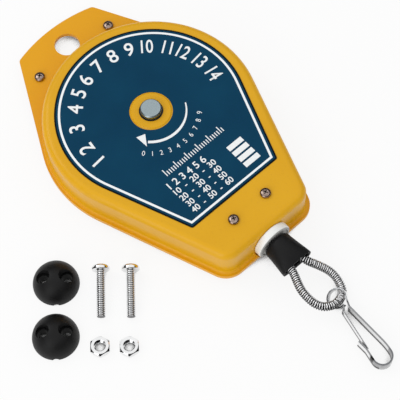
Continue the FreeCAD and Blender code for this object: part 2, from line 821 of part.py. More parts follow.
def strip_along(edges, thickness, width):
    """A strip on its edge, bent along a flat path that runs down the middle of its thickness."""
    faces = []
    for edge in edges:
        start, end = edge.valueAt(edge.FirstParameter), edge.valueAt(edge.LastParameter)
        if isinstance(edge.Curve, Part.Circle):
            centre, radius = edge.Curve.Center, edge.Curve.Radius
            middle = edge.valueAt((edge.FirstParameter + edge.LastParameter) / 2)
            rows = [[centre + (p - centre).normalize() * (radius + side * thickness / 2)
                     for p in (start, middle, end)] for side in (1, -1)]
            sides = [Part.Arc(*row).toShape() for row in rows]
        else:
            along = (end - start).normalize()
            across = V(-along.y, along.x, 0) * (thickness / 2)
            rows = [[p + side * across for p in (start, end)] for side in (1, -1)]
            sides = [Part.LineSegment(*row).toShape() for row in rows]
        caps = [Part.LineSegment(rows[0][i], rows[1][i]).toShape() for i in (0, -1)]
        faces.append(Part.Face(Part.Wire(Part.sortEdges(sides + caps)[0])))
    strip = fused([face.extrude(V(0, 0, width)) for face in faces])
    strip.translate(V(0, 0, -width / 2))
    return strip


def tilted_eye(point):
    """From the eye's own flat plane to its place beside the rope."""
    lean = FreeCAD.Rotation(V(1, 0, 0), eye_tilt)
    return lean.multVec(point) + V(*eye_place)


def eye_tangent():
    """Angle, about the eye's centre, where the neck meets the eye without a corner."""
    rise = eye_tilt_rise(neck_v)
    reach = V(neck_u - eye_place[0], rise, 0)
    lead = math.degrees(math.atan2(reach.y, reach.x))
    return lead + math.degrees(math.acos(eye_radius / reach.Length))


def eye_tilt_rise(v):
    return (v - eye_place[1]) / math.cos(math.radians(eye_tilt))


def rectangle(centre, along, up, thickness, width):
    """A section of the strip: `up` is the direction of its width."""
    across = along.cross(up).normalize() * (thickness / 2)
    rise = up * (width / 2)
    return polygon([tuple(centre + a * across + b * rise) for a, b in ((1, 1), (1, -1), (-1, -1), (-1, 1))])


def snap_hook():
    """Lip, tip, bend and back bar stand on edge; a twisted neck leads to the leaning eye."""
    tip_end = V(bow_u - tip_length, tip_v, 0)
    lip = tip_end + V(-lip_length, -lip_out, 0)
    bow_low, bow_high = V(bow_u, tip_v, 0), V(bow_u, bow_v + bow_radius, 0)
    bar = arc_path([V(neck_u, neck_v, 0), V(bar_corner_u, bow_high.y, 0), bow_high], [bar_bend])
    body = strip_along([
        Part.LineSegment(lip, tip_end).toShape(),
        Part.LineSegment(tip_end, bow_low).toShape(),
        Part.Arc(bow_low, V(bow_u + bow_radius, bow_v, 0), bow_high).toShape(),
        *bar.Edges,
    ], strip_thickness, strip_width)
    body.translate(V(0, 0, hook_middle))

    start = eye_tangent()
    on_eye = circle_points(eye_radius, start, (start + eye_wrap_end) / 2, eye_wrap_end)
    eye = strip_along([Part.Arc(*on_eye).toShape()], strip_thickness, eye_width)
    eye.rotate(V(0, 0, 0), V(1, 0, 0), eye_tilt)
    eye.translate(V(*eye_place))

    bar_start = bar.Edges[0]
    root = V(neck_u, neck_v, hook_middle)
    root_along = bar_start.tangentAt(bar_start.FirstParameter)
    eye_along = tilted_eye(V(math.sin(math.radians(start)), -math.cos(math.radians(start)), 0)) - V(*eye_place)
    eye_up = FreeCAD.Rotation(V(1, 0, 0), eye_tilt).multVec(V(0, 0, 1))
    joint = tilted_eye(on_eye[0])
    halfway = (joint + root) * 0.5
    along = (root - joint).normalize()
    middle_up = (eye_up + V(0, 0, 1)).normalize()
    sections = [
        rectangle(joint, eye_along, eye_up, strip_thickness, eye_width),
        rectangle(halfway, along, middle_up, strip_thickness, (eye_width + strip_width) / 2),
        rectangle(root, root_along, V(0, 0, 1), strip_thickness, strip_width),
    ]
    neck = Part.makeLoft(sections, True, True)
    return lay_hook(fused([body, neck, eye]))


def hook_gate():
    """Leaf spring: a short tab against the eye, bent into a straight arm that ends inside the tip."""
    tab = V(gate_root_u, gate_v + gate_tab, 0)
    path = arc_path([tab, V(gate_root_u, gate_v, 0), V(gate_end_u, gate_v, 0)], [0.8])
    gate = strip_along(path.Edges, gate_thickness, gate_width)
    gate.translate(V(0, 0, hook_middle))
    return lay_hook(gate)


def lay_hook(shape):
    """Turns a piece of the hook to its direction on the floor, and puts it at the loop."""
    shape = shape.copy()
    shape.rotate(V(0, 0, 0), V(0, 0, 1), hook_yaw)
    shape.translate(V(*hook_place, 0))
    return shape


# --- rope-stop kit ----------------------------------------------------------------------------
def stop_half(x, y):
    """Half ball, flat side down, with two screw holes and half of the rope's groove."""
    ball = Part.makeSphere(stop_radius, V(0, 0, 0), V(0, 0, 1), 0, 90, 360)
    cuts = []
    for side in (-1, 1):
        offset = side * stop_hole_spacing / 2
        cuts.append(cylinder(stop_hole_radius, 0, stop_radius, offset))
        cuts.append(cylinder(stop_recess_radius, stop_recess_floor, stop_radius + 1, offset))
    groove = Part.makeCylinder(stop_groove_radius, 4 * stop_radius, V(0, -2 * stop_radius, 0), V(0, 1, 0))
    return placed(ball.cut(Part.makeCompound(cuts + [groove])), x, y, 0, 90 + stop_turn)


def stop_screw(x, y):
    """Lies on the floor on its head's rim and its tip."""
    screw = pan_screw(stop_screw_radius, stop_screw_length, stop_head_radius, stop_head_height)
    dip = math.degrees(math.asin((stop_head_radius - stop_screw_radius) / stop_screw_length))
    screw.rotate(V(0, 0, 0), V(0, 1, 0), -90 + dip)
    screw.rotate(V(0, 0, 0), V(0, 0, 1), kit_turn)
    screw.translate(V(x, y, 0))
    screw.translate(V(0, 0, 0.02 - screw.optimalBoundingBox(False).ZMin))
    return screw


def stop_nut(x, y):
    return placed(hex_nut(stop_nut_flats, stop_nut_height, stop_screw_radius + thread_gap), x, y, 0, kit_turn)


solids = {}
os.makedirs("parts", exist_ok=True)

save("front_cover", front_cover())
save("rear_cover", rear_cover())
save("front_label", front_label())
save("case_screws", *case_screw_set())
save("ear_nuts", *ear_nut_set())
save("case_posts", *[case_post(x, y) for x, y in face_screws])
save("spindle", spindle())
save("tension_knob", tension_knob())
save("front_bush", front_bush())
save("rear_bush", tube(rear_bush_radius, spindle_radius + running_gap, sheet, rear_bush_top))
save("thrust_washer", tube(washer_radius, spindle_radius + running_gap, washer_low, washer_low + washer_height))
save("spindle_clip", spindle_clip())
save("rope_drum", rope_drum())
save("drum_bush", tube(spindle_radius + running_gap + drum_bush_wall, spindle_radius + running_gap,
                       drum_low, drum_low + drum_bush_length))
save("drum_lid", drum_lid())
save("lid_rivets", *[lid_rivet(x, y) for x, y in lid_rivet_places])
save("mainspring", mainspring())
save("ratchet_wheel", ratchet_wheel())
save("click_spring", click_spring())
save("click_post", click_post())
save("rope_anchor", anchor_pocket())
save("rope_wound", *rope_wound())
save("rope_run", rope_run())
save("rope_guide", rope_guide())
save("rope_end_cap", rope_end_cap())
save("crimp_sleeve", crimp_sleeve())
save("rope_loop", rope_loop())
save("loop_sheath", loop_sheath())
save("snap_hook", snap_hook())
save("hook_gate", hook_gate())
save("stop_half_left", stop_half(*stop_places[0]))
save("stop_half_right", stop_half(*stop_places[1]))
save("stop_screws", *[stop_screw(x, y) for x, y in stop_screw_places])
save("stop_nuts", *[stop_nut(x, y) for x, y in stop_nut_places])

path = loop_path()
section = math.pi * core_radius ** 2
print("loop length", round(path.Length, 2), "volume ratio", round(solids["rope_loop"].Volume / (section * path.Length), 4))
print("loop radii", [round(r, 1) for r in widest_radii([V(*p) for p in loop_route])])
for name, shape in solids.items():
    box = shape.BoundBox
    print(f"{name:16} solids {len(shape.Solids)} valid {shape.isValid()} volume {shape.Volume:10.1f} "
          f"x {box.XMin:7.2f} {box.XMax:7.2f} y {box.YMin:7.2f} {box.YMax:7.2f} z {box.ZMin:6.2f} {box.ZMax:6.2f}")
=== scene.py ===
import math

import bmesh
import bpy
from mathutils import Matrix, Vector


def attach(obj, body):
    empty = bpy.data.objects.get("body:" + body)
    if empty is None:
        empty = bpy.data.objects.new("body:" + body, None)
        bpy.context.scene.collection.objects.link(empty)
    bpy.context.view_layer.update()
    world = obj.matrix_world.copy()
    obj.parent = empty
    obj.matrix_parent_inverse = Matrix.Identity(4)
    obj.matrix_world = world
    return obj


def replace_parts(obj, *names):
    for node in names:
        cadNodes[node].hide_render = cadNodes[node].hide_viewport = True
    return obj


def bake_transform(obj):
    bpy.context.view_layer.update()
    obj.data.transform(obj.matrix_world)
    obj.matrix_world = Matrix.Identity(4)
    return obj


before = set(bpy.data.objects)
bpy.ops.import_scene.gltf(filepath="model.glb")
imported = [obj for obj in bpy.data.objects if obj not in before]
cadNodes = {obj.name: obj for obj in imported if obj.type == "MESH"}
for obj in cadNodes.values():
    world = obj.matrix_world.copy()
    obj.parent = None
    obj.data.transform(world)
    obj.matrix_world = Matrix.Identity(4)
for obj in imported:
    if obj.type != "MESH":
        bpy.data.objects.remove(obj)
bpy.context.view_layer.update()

# A spring tool balancer on its back, with its rope-stop kit beside it, as a packshot on a pale floor.
mm = 0.001
up = Vector((0, 0, 1))


# small helpers for materials

def paint(red, green, blue):
    # screen colour, 0 to 255, as the linear colour that a shader takes
    channels = [value / 255 for value in (red, green, blue)]
    linear = [v / 12.92 if v < 0.04045 else ((v + 0.055) / 1.055) ** 2.4 for v in channels]
    return (*linear, 1.0)


class Reading:
    # a shader socket that Python sums, products and comparisons work on
    def __init__(self, finish, socket):
        self.finish = finish
        self.socket = socket

    def sum(self, operation, first, second=0.0):
        return self.finish.add("ShaderNodeMath", {"operation": operation}, {0: first, 1: second})

    def __add__(self, other):
        return self.sum("ADD", self, other)

    def __radd__(self, other):
        return self.sum("ADD", other, self)

    def __sub__(self, other):
        return self.sum("SUBTRACT", self, other)

    def __rsub__(self, other):
        return self.sum("SUBTRACT", other, self)

    def __mul__(self, other):
        return self.sum("MULTIPLY", self, other)

    def __rmul__(self, other):
        return self.sum("MULTIPLY", other, self)

    def __gt__(self, other):
        return self.sum("GREATER_THAN", self, other)

    def __lt__(self, other):
        return self.sum("LESS_THAN", self, other)

    def __abs__(self):
        return self.sum("ABSOLUTE", self)

    def root(self):
        return self.sum("SQRT", self)

    def larger(self, other):
        return self.sum("MAXIMUM", self, other)

    def least(self, other):
        return self.sum("MINIMUM", self, other)


class Finish:
    # the node tree of a material or of the world
    def __init__(self, owner):
        owner.use_nodes = True
        self.owner = owner
        self.tree = owner.node_tree
        self.where = None

    def add(self, kind, settings, sockets, output=0):
        node = self.tree.nodes.new(kind)
        for name, value in settings.items():
            setattr(node, name, value)
        for name, value in sockets.items():
            self.feed(node.inputs[name], value)
        return Reading(self, node.outputs[output])

    def feed(self, socket, value):
        if isinstance(value, Reading):
            self.tree.links.new(value.socket, socket)
        else:
            socket.default_value = value

    def coords(self):
        if self.where is None:
            self.where = self.add("ShaderNodeTexCoord", {}, {}, "Object")
        return self.where

    def mapped(self, scale=(1, 1, 1), turn=(0, 0, 0), move=(0, 0, 0)):
        sockets = {"Vector": self.coords(), "Scale": scale, "Rotation": turn, "Location": move}
        return self.add("ShaderNodeMapping", {}, sockets)

    def along(self, axis):
        # X, Y or Z in millimetres
        return self.add("ShaderNodeSeparateXYZ", {}, {0: self.coords()}, axis) * 1000

    def noise(self, scale, detail=2.0, vector=None):
        sockets = {"Vector": vector or self.coords(), "Scale": scale, "Detail": detail}
        return self.add("ShaderNodeTexNoise", {}, sockets)

    def mixed(self, factor, first, second):
        return self.add("ShaderNodeMix", {"data_type": "RGBA"}, {0: factor, 6: first, 7: second}, 2)


class Surface(Finish):
    # a material on the Principled shader; what stays the same all over is given by socket name
    def __init__(self, name, constants):
        super().__init__(bpy.data.materials.new(name))
        self.shader = self.tree.nodes["Principled BSDF"]
        for socket, value in constants.items():
            self.put(socket, value)

    def put(self, socket, value):
        self.feed(self.shader.inputs[socket], value)

    def bump(self, height, depth, strength=1.0):
        sockets = {"Height": height, "Strength": strength, "Distance": depth}
        self.put("Normal", self.add("ShaderNodeBump", {}, sockets))


# small helpers for meshes

def shapedPiece(name, shape, materials, body, sharp=35):
    # closes doubles, turns faces outwards and makes the finished object
    bmesh.ops.remove_doubles(shape, verts=shape.verts, dist=1e-7)
    bmesh.ops.recalc_face_normals(shape, faces=shape.faces)
    mesh = bpy.data.meshes.new(name)
    shape.to_mesh(mesh)
    shape.free()
    return meshPiece(name, mesh, materials, body, sharp)


def meshPiece(name, mesh, materials, body, sharp=35):
    mesh.name = name
    piece = bpy.data.objects.new(name, mesh)
    bpy.context.scene.collection.objects.link(piece)
    marks = [face.material_index for face in mesh.polygons]
    mesh.materials.clear()
    for material in materials:
        mesh.materials.append(material)
    for face, mark in zip(mesh.polygons, marks):
        face.material_index = min(mark, len(materials) - 1)
    mesh.shade_smooth()
    mesh.set_sharp_from_angle(angle=math.radians(sharp))
    if body is not None:                 # a piece that stretches between two bodies rides on neither
        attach(piece, body)
    return piece


def addCopy(shape, source, place):
    # puts a copy of a mesh into a bmesh, moved by a matrix
    before = set(shape.verts)
    shape.from_mesh(source)
    fresh = [v for v in shape.verts if v not in before]
    bmesh.ops.transform(shape, matrix=place, verts=fresh)


def carve(mesh, cutter, operation="DIFFERENCE"):
    # cuts one mesh out of another, and returns the result as a mesh; the cut takes the cutter's finish
    holder = bpy.data.objects.new("holder", mesh)
    knife = bpy.data.objects.new("knife", cutter)
    for thing in (holder, knife):
        bpy.context.scene.collection.objects.link(thing)
    cut = holder.modifiers.new("cut", "BOOLEAN")
    cut.operation = operation
    cut.solver = "EXACT"
    cut.material_mode = "TRANSFER"
    cut.object = knife
    graph = bpy.context.evaluated_depsgraph_get()
    carved = bpy.data.meshes.new_from_object(holder.evaluated_get(graph))
    for thing in (holder, knife):
        bpy.data.objects.remove(thing)
    return carved


def toMesh(shape, name, material=None):
    mesh = bpy.data.meshes.new(name)
    shape.to_mesh(mesh)
    shape.free()
    if material is not None:
        mesh.materials.append(material)
    return mesh


def easedCopy(node, name, body, width, sharp=30):
    # a CAD node's shape with its sharp edges eased, standing for the node
    source = cadNodes[node]
    shape = bmesh.new()
    shape.from_mesh(source.data)
    bmesh.ops.remove_doubles(shape, verts=shape.verts, dist=2e-6)
    bmesh.ops.dissolve_limit(shape, angle_limit=math.radians(0.5), verts=shape.verts, edges=shape.edges)
    bmesh.ops.recalc_face_normals(shape, faces=shape.faces)
    corners = [e for e in shape.edges if len(e.link_faces) == 2 and e.calc_face_angle() > math.radians(sharp)]
    bmesh.ops.bevel(shape, geom=corners, offset=width, offset_type="OFFSET", affect="EDGES", segments=3,
                    profile=0.5, material=-1, clamp_overlap=True)
    piece = shapedPiece(name, shape, [source.data.materials[0]], body, 24)
    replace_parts(piece, node)
    return piece


def smoothCurve(name, route, radius):
    # a smooth line that the route's points pull on, with a round section
    curve = bpy.data.curves.new(name, "CURVE")
    curve.dimensions = "3D"
    spline = curve.splines.new("NURBS")
    spline.points.add(len(route) - 1)
    for point, place in zip(spline.points, route):
        point.co = (*place, 1.0)
    spline.order_u = 3
    spline.use_endpoint_u = True
    spline.resolution_u = 24
    curve.bevel_depth = radius
    curve.bevel_resolution = 3
    curve.use_fill_caps = True
    piece = bpy.data.objects.new(name, curve)
    bpy.context.scene.collection.objects.link(piece)
    return piece


def pointsOf(curvePiece):
    # the points that a curve's own line runs through
    bare = curvePiece.copy()
    bare.data = curvePiece.data.copy()
    bare.data.bevel_depth = 0
    bare.data.use_fill_caps = False
    line = bpy.data.meshes.new_from_object(bare)
    points = [v.co.copy() for v in line.vertices]
    bpy.data.objects.remove(bare)
    return points


# camera

cameraSetup = {
    "place": (0.3031, -0.2203, 0.6729),
    "aim": (0.0466, -0.0081, 0.0),
    "roll": -2.72,           # degrees
    "lens": 127.9,
    "sensor": 36.0,
    "clip": (0.05, 20),
}


def setCamera():
    setup = cameraSetup
    camera = bpy.data.cameras.new("packshotCamera")
    camera.lens = setup["lens"]
    camera.sensor_width = setup["sensor"]
    camera.clip_start, camera.clip_end = setup["clip"]
    holder = bpy.data.objects.new("packshotCamera", camera)
    place = Vector(setup["place"])
    turn = (Vector(setup["aim"]) - place).to_track_quat("-Z", "Y").to_matrix().to_4x4()
    spin = Matrix.Rotation(math.radians(setup["roll"]), 4, "Z")
    holder.matrix_world = Matrix.Translation(place) @ turn @ spin
    bpy.context.scene.collection.objects.link(holder)
    bpy.context.scene.camera = holder


# metals, paint, plastic and rubber

def yellowPaint():
    # baked enamel on pressed steel: slight orange peel, a shade deeper low on the flanges
    s = Surface("yellowEnamel", {"Specular IOR Level": 0.22, "Coat Roughness": 0.12})
    height = s.along("Z")
    cloud = s.noise(28, 3)
    speck = s.noise(900, 2)
    face = s.mixed(cloud, paint(212, 154, 4), paint(222, 168, 20))
    deep = s.mixed(cloud, paint(220, 150, 0), paint(228, 162, 8))
    low = (height < 7.2) * 0.75
    colour = s.mixed(low, face, deep)
    s.put("Base Color", s.mixed((speck > 0.66) * 0.25, colour, paint(205, 148, 20)))
    s.put("Roughness", 0.3 + s.noise(160, 2) * 0.12)
    s.put("Coat Weight", 0.06 + cloud * 0.08)
    s.bump(s.noise(420, 2) + speck * 0.25, 0.00006, 0.5)
    return s.owner


labelSetup = {
    "radius": 51.0,
    "turn": 68.8,            # degrees at which the straight sides leave the round part
    "end": 65.4,
    "lineInset": 2.6,
    "lineWidth": 1.2,
    "rim": 0.9,
}


def labelPrint():
    # printed film: blue field, white line inside the edge, near-black rim
    look = labelSetup
    s = Surface("labelFilm", {"Specular IOR Level": 0.06})
    x, y = s.along("X"), s.along("Y")
    across = abs(y)
    lean = math.radians(look["turn"])
    inRound = (across * math.cos(lean) - x * math.sin(lean)) > 0
    fromRound = (x * x + y * y).root() - look["radius"]
    fromSide = x * math.cos(lean) + across * math.sin(lean) - look["radius"]
    edge = (fromRound * inRound + fromSide * (1 - inRound)).larger(x - look["end"])
    line = abs(edge + look["lineInset"]) < look["lineWidth"] / 2
    rim = edge > -look["rim"]
    cloud = s.noise(45, 3)
    grain = s.noise(1500, 1)
    field = s.mixed(cloud, paint(4, 50, 76), paint(10, 66, 92))
    field = s.mixed((grain > 0.6) * 0.3, field, paint(12, 56, 100))
    field = s.mixed(line, field, paint(240, 243, 244))
    s.put("Base Color", s.mixed(rim, field, paint(6, 18, 24)))
    s.put("Roughness", 0.33 + grain * 0.1)
    s.bump(s.noise(700, 2), 0.00002, 0.35)
    return s.owner


def labelInk():
    s = Surface("labelInk", {"Specular IOR Level": 0.1})
    wear = s.noise(900, 2)
    s.put("Base Color", s.mixed(wear, paint(226, 230, 232), paint(246, 247, 247)))
    s.put("Roughness", 0.35 + wear * 0.15)
    return s.owner


def metal(name, dark, light, roughness, grain, spread=0.12, scratch=0.00002):
    # a plain metal whose tone and gloss wander a little
    s = Surface(name, {"Metallic": 1.0})
    cloud = s.noise(grain, 3)
    streak = s.noise(grain * 6, 2, s.mapped((1, 1, 0.15)))
    s.put("Base Color", s.mixed(cloud, dark, light))
    s.put("Roughness", roughness + (streak - 0.5) * spread)
    s.bump(streak, scratch, 0.4)
    return s.owner


stripFinish = {
    "turn": 12.7,                        # degrees, back to the hook's own line
    "move": (-0.1321, -0.0369, 0),       # brings the middle of its eye to zero
    "topFacing": 0.55,
    "bendFrom": 36.0,                    # mm along the hook
    # how much of the bend takes the painted shade
    "bendShadeShare": 0.75,
    # painted contact shade: the strip turns dark below this height, short of the bend
    "contactShadeHeight": 2.7,                   # mm; the tone fades out below this
    "contactShadeUntil": 41.5,
    # two painted shade patches, one by the bend and one by the eye
    "bendPatch": (36.4, 1.9),            # middle and half length
    "eyePatch": (7.4, 2.0),
    "eyePatchSide": 0.8,
    "eyePatchHeight": 4.6,
}


def polishedStrip():
    # bright strip: sheared edges are greyer; painted shade darkens the edge that it lies on, the bend, and
    # two patches by the bend and the eye
    look = stripFinish
    s = Surface("polishedStrip", {"Specular IOR Level": 0.1})
    height = s.along("Z")
    facing = s.add("ShaderNodeSeparateXYZ", {}, {0: s.add("ShaderNodeNewGeometry", {}, {}, "Normal")}, "Z")
    place = s.mapped(turn=(0, 0, math.radians(look["turn"])), move=look["move"])
    along, across = [s.add("ShaderNodeSeparateXYZ", {}, {0: place}, axis) * 1000 for axis in "XY"]
    cloud = s.noise(140, 3)
    streak = s.noise(700, 2, s.mapped((1, 1, 0.2)))
    tone = s.mixed(cloud, paint(236, 237, 238), paint(252, 252, 252))
    # painted shade: a darker, streaky tone over the bend
    bendShadeTone = s.mixed(streak, paint(70, 70, 72), paint(168, 168, 170))
    tone = s.mixed((along > look["bendFrom"]) * look["bendShadeShare"], tone, bendShadeTone)
    tone = s.mixed((facing > look["topFacing"]) * 0.8, tone, paint(104, 106, 109))
    # painted shade patches: on one side by the bend, and low on the inner side by the eye
    bendShadePatch, eyeShadePatch = [(half - abs(along - middle)).least(1.0).larger(0.0)
                         for middle, half in (look["bendPatch"], look["eyePatch"])]
    bendShadePatch = bendShadePatch * (across < 0.0)
    eyeShadePatch = eyeShadePatch * (across < look["eyePatchSide"]) * (height < look["eyePatchHeight"])
    # painted contact shade along the edge that the strip lies on
    contactShade = ((look["contactShadeHeight"] - height) * 1.1).least(1.0).larger(0.0) * (along < look["contactShadeUntil"])
    # all the painted shade together; where it lies, the strip is dark and not metallic
    black = contactShade.larger(bendShadePatch).larger(eyeShadePatch)
    s.put("Base Color", s.mixed(black, tone, paint(6, 6, 7)))
    s.put("Metallic", 1 - black)
    s.put("Roughness", 0.12 + streak * 0.1)
    s.bump(streak, 0.00002, 0.3)
    return s.owner


def woundWire():
    # bright wire with painted shade on its turns towards the sides of the sheath, where the surface faces
    # sideways
    s = Surface("sheathWire", {"Metallic": 1.0})
    rise = s.add("ShaderNodeSeparateXYZ", {}, {0: s.add("ShaderNodeNewGeometry", {}, {}, "Normal")}, "Z")
    brightFrom, fall, darkest = 0.72, 2.2, 0.92
    # painted shade: the turns grow dark as their surface turns sideways
    side = ((brightFrom - rise) * fall).least(darkest).larger(0.0)
    cloud = s.noise(500, 2)
    bright = s.mixed(cloud, paint(214, 214, 215), paint(246, 246, 247))
    s.put("Base Color", s.mixed(side, bright, paint(40, 40, 41)))
    s.put("Roughness", 0.16 + cloud * 0.1)
    s.bump(cloud, 0.00002, 0.3)
    return s.owner


def turnedSteel():
    # a lathe's rings round the spindle's axis
    s = Surface("turnedSteel", {"Metallic": 1.0})
    x, y = s.along("X"), s.along("Y")
    out = (x * x + y * y).root()
    ring = s.add("ShaderNodeTexNoise", {"noise_dimensions": "1D"}, {"W": out, "Scale": 5.0, "Detail": 2.0})
    cloud = s.noise(120, 2)
    s.put("Base Color", s.mixed(ring, paint(140, 156, 162), paint(176, 188, 192)))
    s.put("Roughness", 0.3 + ring * 0.12 + cloud * 0.05)
    s.bump(ring, 0.00002, 0.5)
    return s.owner


def whiteNylon(name, dark, light):
    s = Surface(name, {})
    cloud = s.noise(90, 3)
    s.put("Base Color", s.mixed(cloud, dark, light))
    s.put("Roughness", 0.38 + cloud * 0.12)
    s.bump(s.noise(600, 2), 0.00003, 0.4)
    return s.owner


def rubber(name, dark, light, roughness):
    s = Surface(name, {"Specular IOR Level": 0.2})
    cloud = s.noise(110, 3)
    grain = s.noise(1400, 2)
    s.put("Base Color", s.mixed(cloud, dark, light))
    s.put("Roughness", roughness - 0.06 + grain * 0.12)
    s.bump(grain + cloud * 0.6, 0.00008, 0.5)
    return s.owner


def steelRope():
    # a fine slanting twist, as of small strands laid round each other
    s = Surface("steelRope", {"Metallic": 1.0})
    x, y, z = s.along("X"), s.along("Y"), s.along("Z")
    twist = s.add("ShaderNodeTexWave", {"wave_type": "BANDS", "bands_direction": "DIAGONAL"},
                  {"Vector": s.coords(), "Scale": 320.0, "Distortion": 0.4}, "Fac")
    tone = (s.noise(300, 2) + (x + y + z) * 0.0005)
    s.put("Base Color", s.mixed(twist * tone, paint(70, 72, 74), paint(190, 192, 194)))
    s.put("Roughness", 0.3 + tone * 0.2)
    s.bump(twist, 0.0002, 0.6)
    return s.owner


print("materials")
finishes = {
    "enamel": yellowPaint(),
    "label": labelPrint(),
    "ink": labelInk(),
    "zinc": metal("platedSteel", paint(150, 150, 152), paint(205, 204, 200), 0.26, 220),
    "passivated": metal("passivatedScrew", paint(86, 64, 60), paint(204, 184, 172), 0.2, 700),
    "chrome": metal("brightChrome", paint(196, 198, 202), paint(226, 227, 229), 0.13, 90, 0.08),
    "kitSteel": metal("kitSteel", paint(226, 227, 228), paint(250, 250, 250), 0.14, 300, 0.08),
    # painted shade for the inside of the screws' cross recesses
    "socket": metal("recessShade", paint(30, 28, 28), paint(62, 56, 54), 0.45, 500),
    # painted shade for the grooves at the thread's root
    "threadRootShade": metal("threadRootShade", paint(84, 84, 85), paint(120, 120, 121), 0.35, 500),
    # a black tube inside the wound wire: painted shade in the gaps between its turns
    "gapShadeTube": metal("sheathGapShade", paint(16, 16, 17), paint(30, 30, 31), 0.6, 500),
    "hookMetal": polishedStrip(),
    "springSteel": metal("springSteel", paint(92, 96, 104), paint(140, 142, 146), 0.34, 150),
    "sheathWire": woundWire(),
    "knob": turnedSteel(),
    # dark bush round the knob: partly its own dark colour, partly painted shade for the gap round the knob
    "dark": metal("darkBushGapShade", paint(38, 40, 42), paint(62, 64, 66), 0.42, 200),
    "cast": metal("castDrum", paint(132, 134, 138), paint(166, 168, 170), 0.5, 160, 0.2, 0.00006),
    "bronze": metal("bearingBronze", paint(150, 108, 62), paint(186, 140, 88), 0.4, 160),
    "nylon": whiteNylon("whiteNylon", paint(226, 227, 224), paint(240, 241, 240)),
    # a greyer copy of the white nylon: painted shade on the rope guide's front face
    "shadedNylon": whiteNylon("shadedNylon", paint(150, 150, 147), paint(180, 180, 176)),
    "rubber": rubber("blackRubber", paint(12, 12, 13), paint(24, 24, 25), 0.5),
    "stopRubber": rubber("stopRubber", paint(12, 12, 12), paint(22, 22, 23), 0.46),
    "rope": steelRope(),
}
nodeFinishes = {
    "front_cover": "enamel", "rear_cover": "enamel", "front_label": "label", "case_screws": "passivated",
    "ear_nuts": "zinc", "case_posts": "zinc", "spindle": "zinc", "tension_knob": "knob",
    "front_bush": "dark", "rear_bush": "bronze", "thrust_washer": "zinc", "spindle_clip": "springSteel",
    "rope_drum": "cast", "drum_bush": "bronze", "drum_lid": "zinc", "lid_rivets": "zinc",
    "mainspring": "springSteel", "ratchet_wheel": "springSteel", "click_spring": "springSteel",
    "click_post": "zinc", "rope_anchor": "zinc", "rope_wound": "rope", "rope_run": "rope",
    "rope_guide": "nylon", "rope_end_cap": "rubber", "crimp_sleeve": "zinc", "rope_loop": "rope",
    "loop_sheath": "sheathWire", "snap_hook": "hookMetal", "hook_gate": "hookMetal",
    "stop_half_left": "stopRubber", "stop_half_right": "stopRubber", "stop_screws": "chrome",
    "stop_nuts": "chrome",
}
for node, finish in nodeFinishes.items():
    mesh = cadNodes[node].data
    mesh.materials.clear()
    mesh.materials.append(finishes[finish])


# rope: the run inside the casing, the loop and its sheath

ropeSetup = {
    "radius": 1.0 * mm,
    "run": [(0.02051, -0.03665, 0.0167), (0.0860, 0.0, 0.0125), (0.10105, 0.0, 0.0125)],
    "stretchFrom": (0.088, 0.0, 0.0125),
    "stretchTo": (0.0955, 0.0, 0.0125),
}
loopSetup = {
    "coreRadius": 1.2 * mm,
    "route": [
        (0.1015, -0.00315, 0.0125), (0.1122, -0.00395, 0.01245), (0.1180, -0.0065, 0.0123),
        (0.1248, -0.0089, 0.0119), (0.1357, -0.0080, 0.0110), (0.1400, -0.0003, 0.0093),
        (0.1368, 0.0085, 0.0025), (0.1323, 0.0118, 0.0025), (0.1247, 0.0126, 0.0050),
        (0.1172, 0.0084, 0.0087), (0.1118, 0.0041, 0.0121), (0.1015, 0.00315, 0.0125),
    ],
    "length": 0.0920,
    "sheathRadius": 2.38 * mm,
    "wireRadius": 0.43 * mm,
    "wirePitch": 1.12 * mm,
    "sheathInset": 4.4 * mm,     # bare rope at each end, inside the crimp
    "wireSteps": 14,             # per turn
    "gapShadeRadius": 1.84 * mm,
}


def ropeRun():
    # from the drum to the cap: one still piece, riding on no body, whose inner end stays in the casing
    setup = ropeSetup
    line = smoothCurve("ropeRunLine", setup["run"], setup["radius"])
    mesh = bpy.data.meshes.new_from_object(line)
    bpy.data.objects.remove(line)
    run = meshPiece("ropeRun", mesh, [finishes["rope"]], None, 60)
    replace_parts(run, "rope_run")
    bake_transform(run)


def ropeLoop():
    setup = loopSetup
    loop = smoothCurve("ropeLoop", setup["route"], setup["coreRadius"])
    loop.data.materials.append(finishes["rope"])
    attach(loop, "rope_end")
    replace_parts(loop, "rope_loop")
    return loop


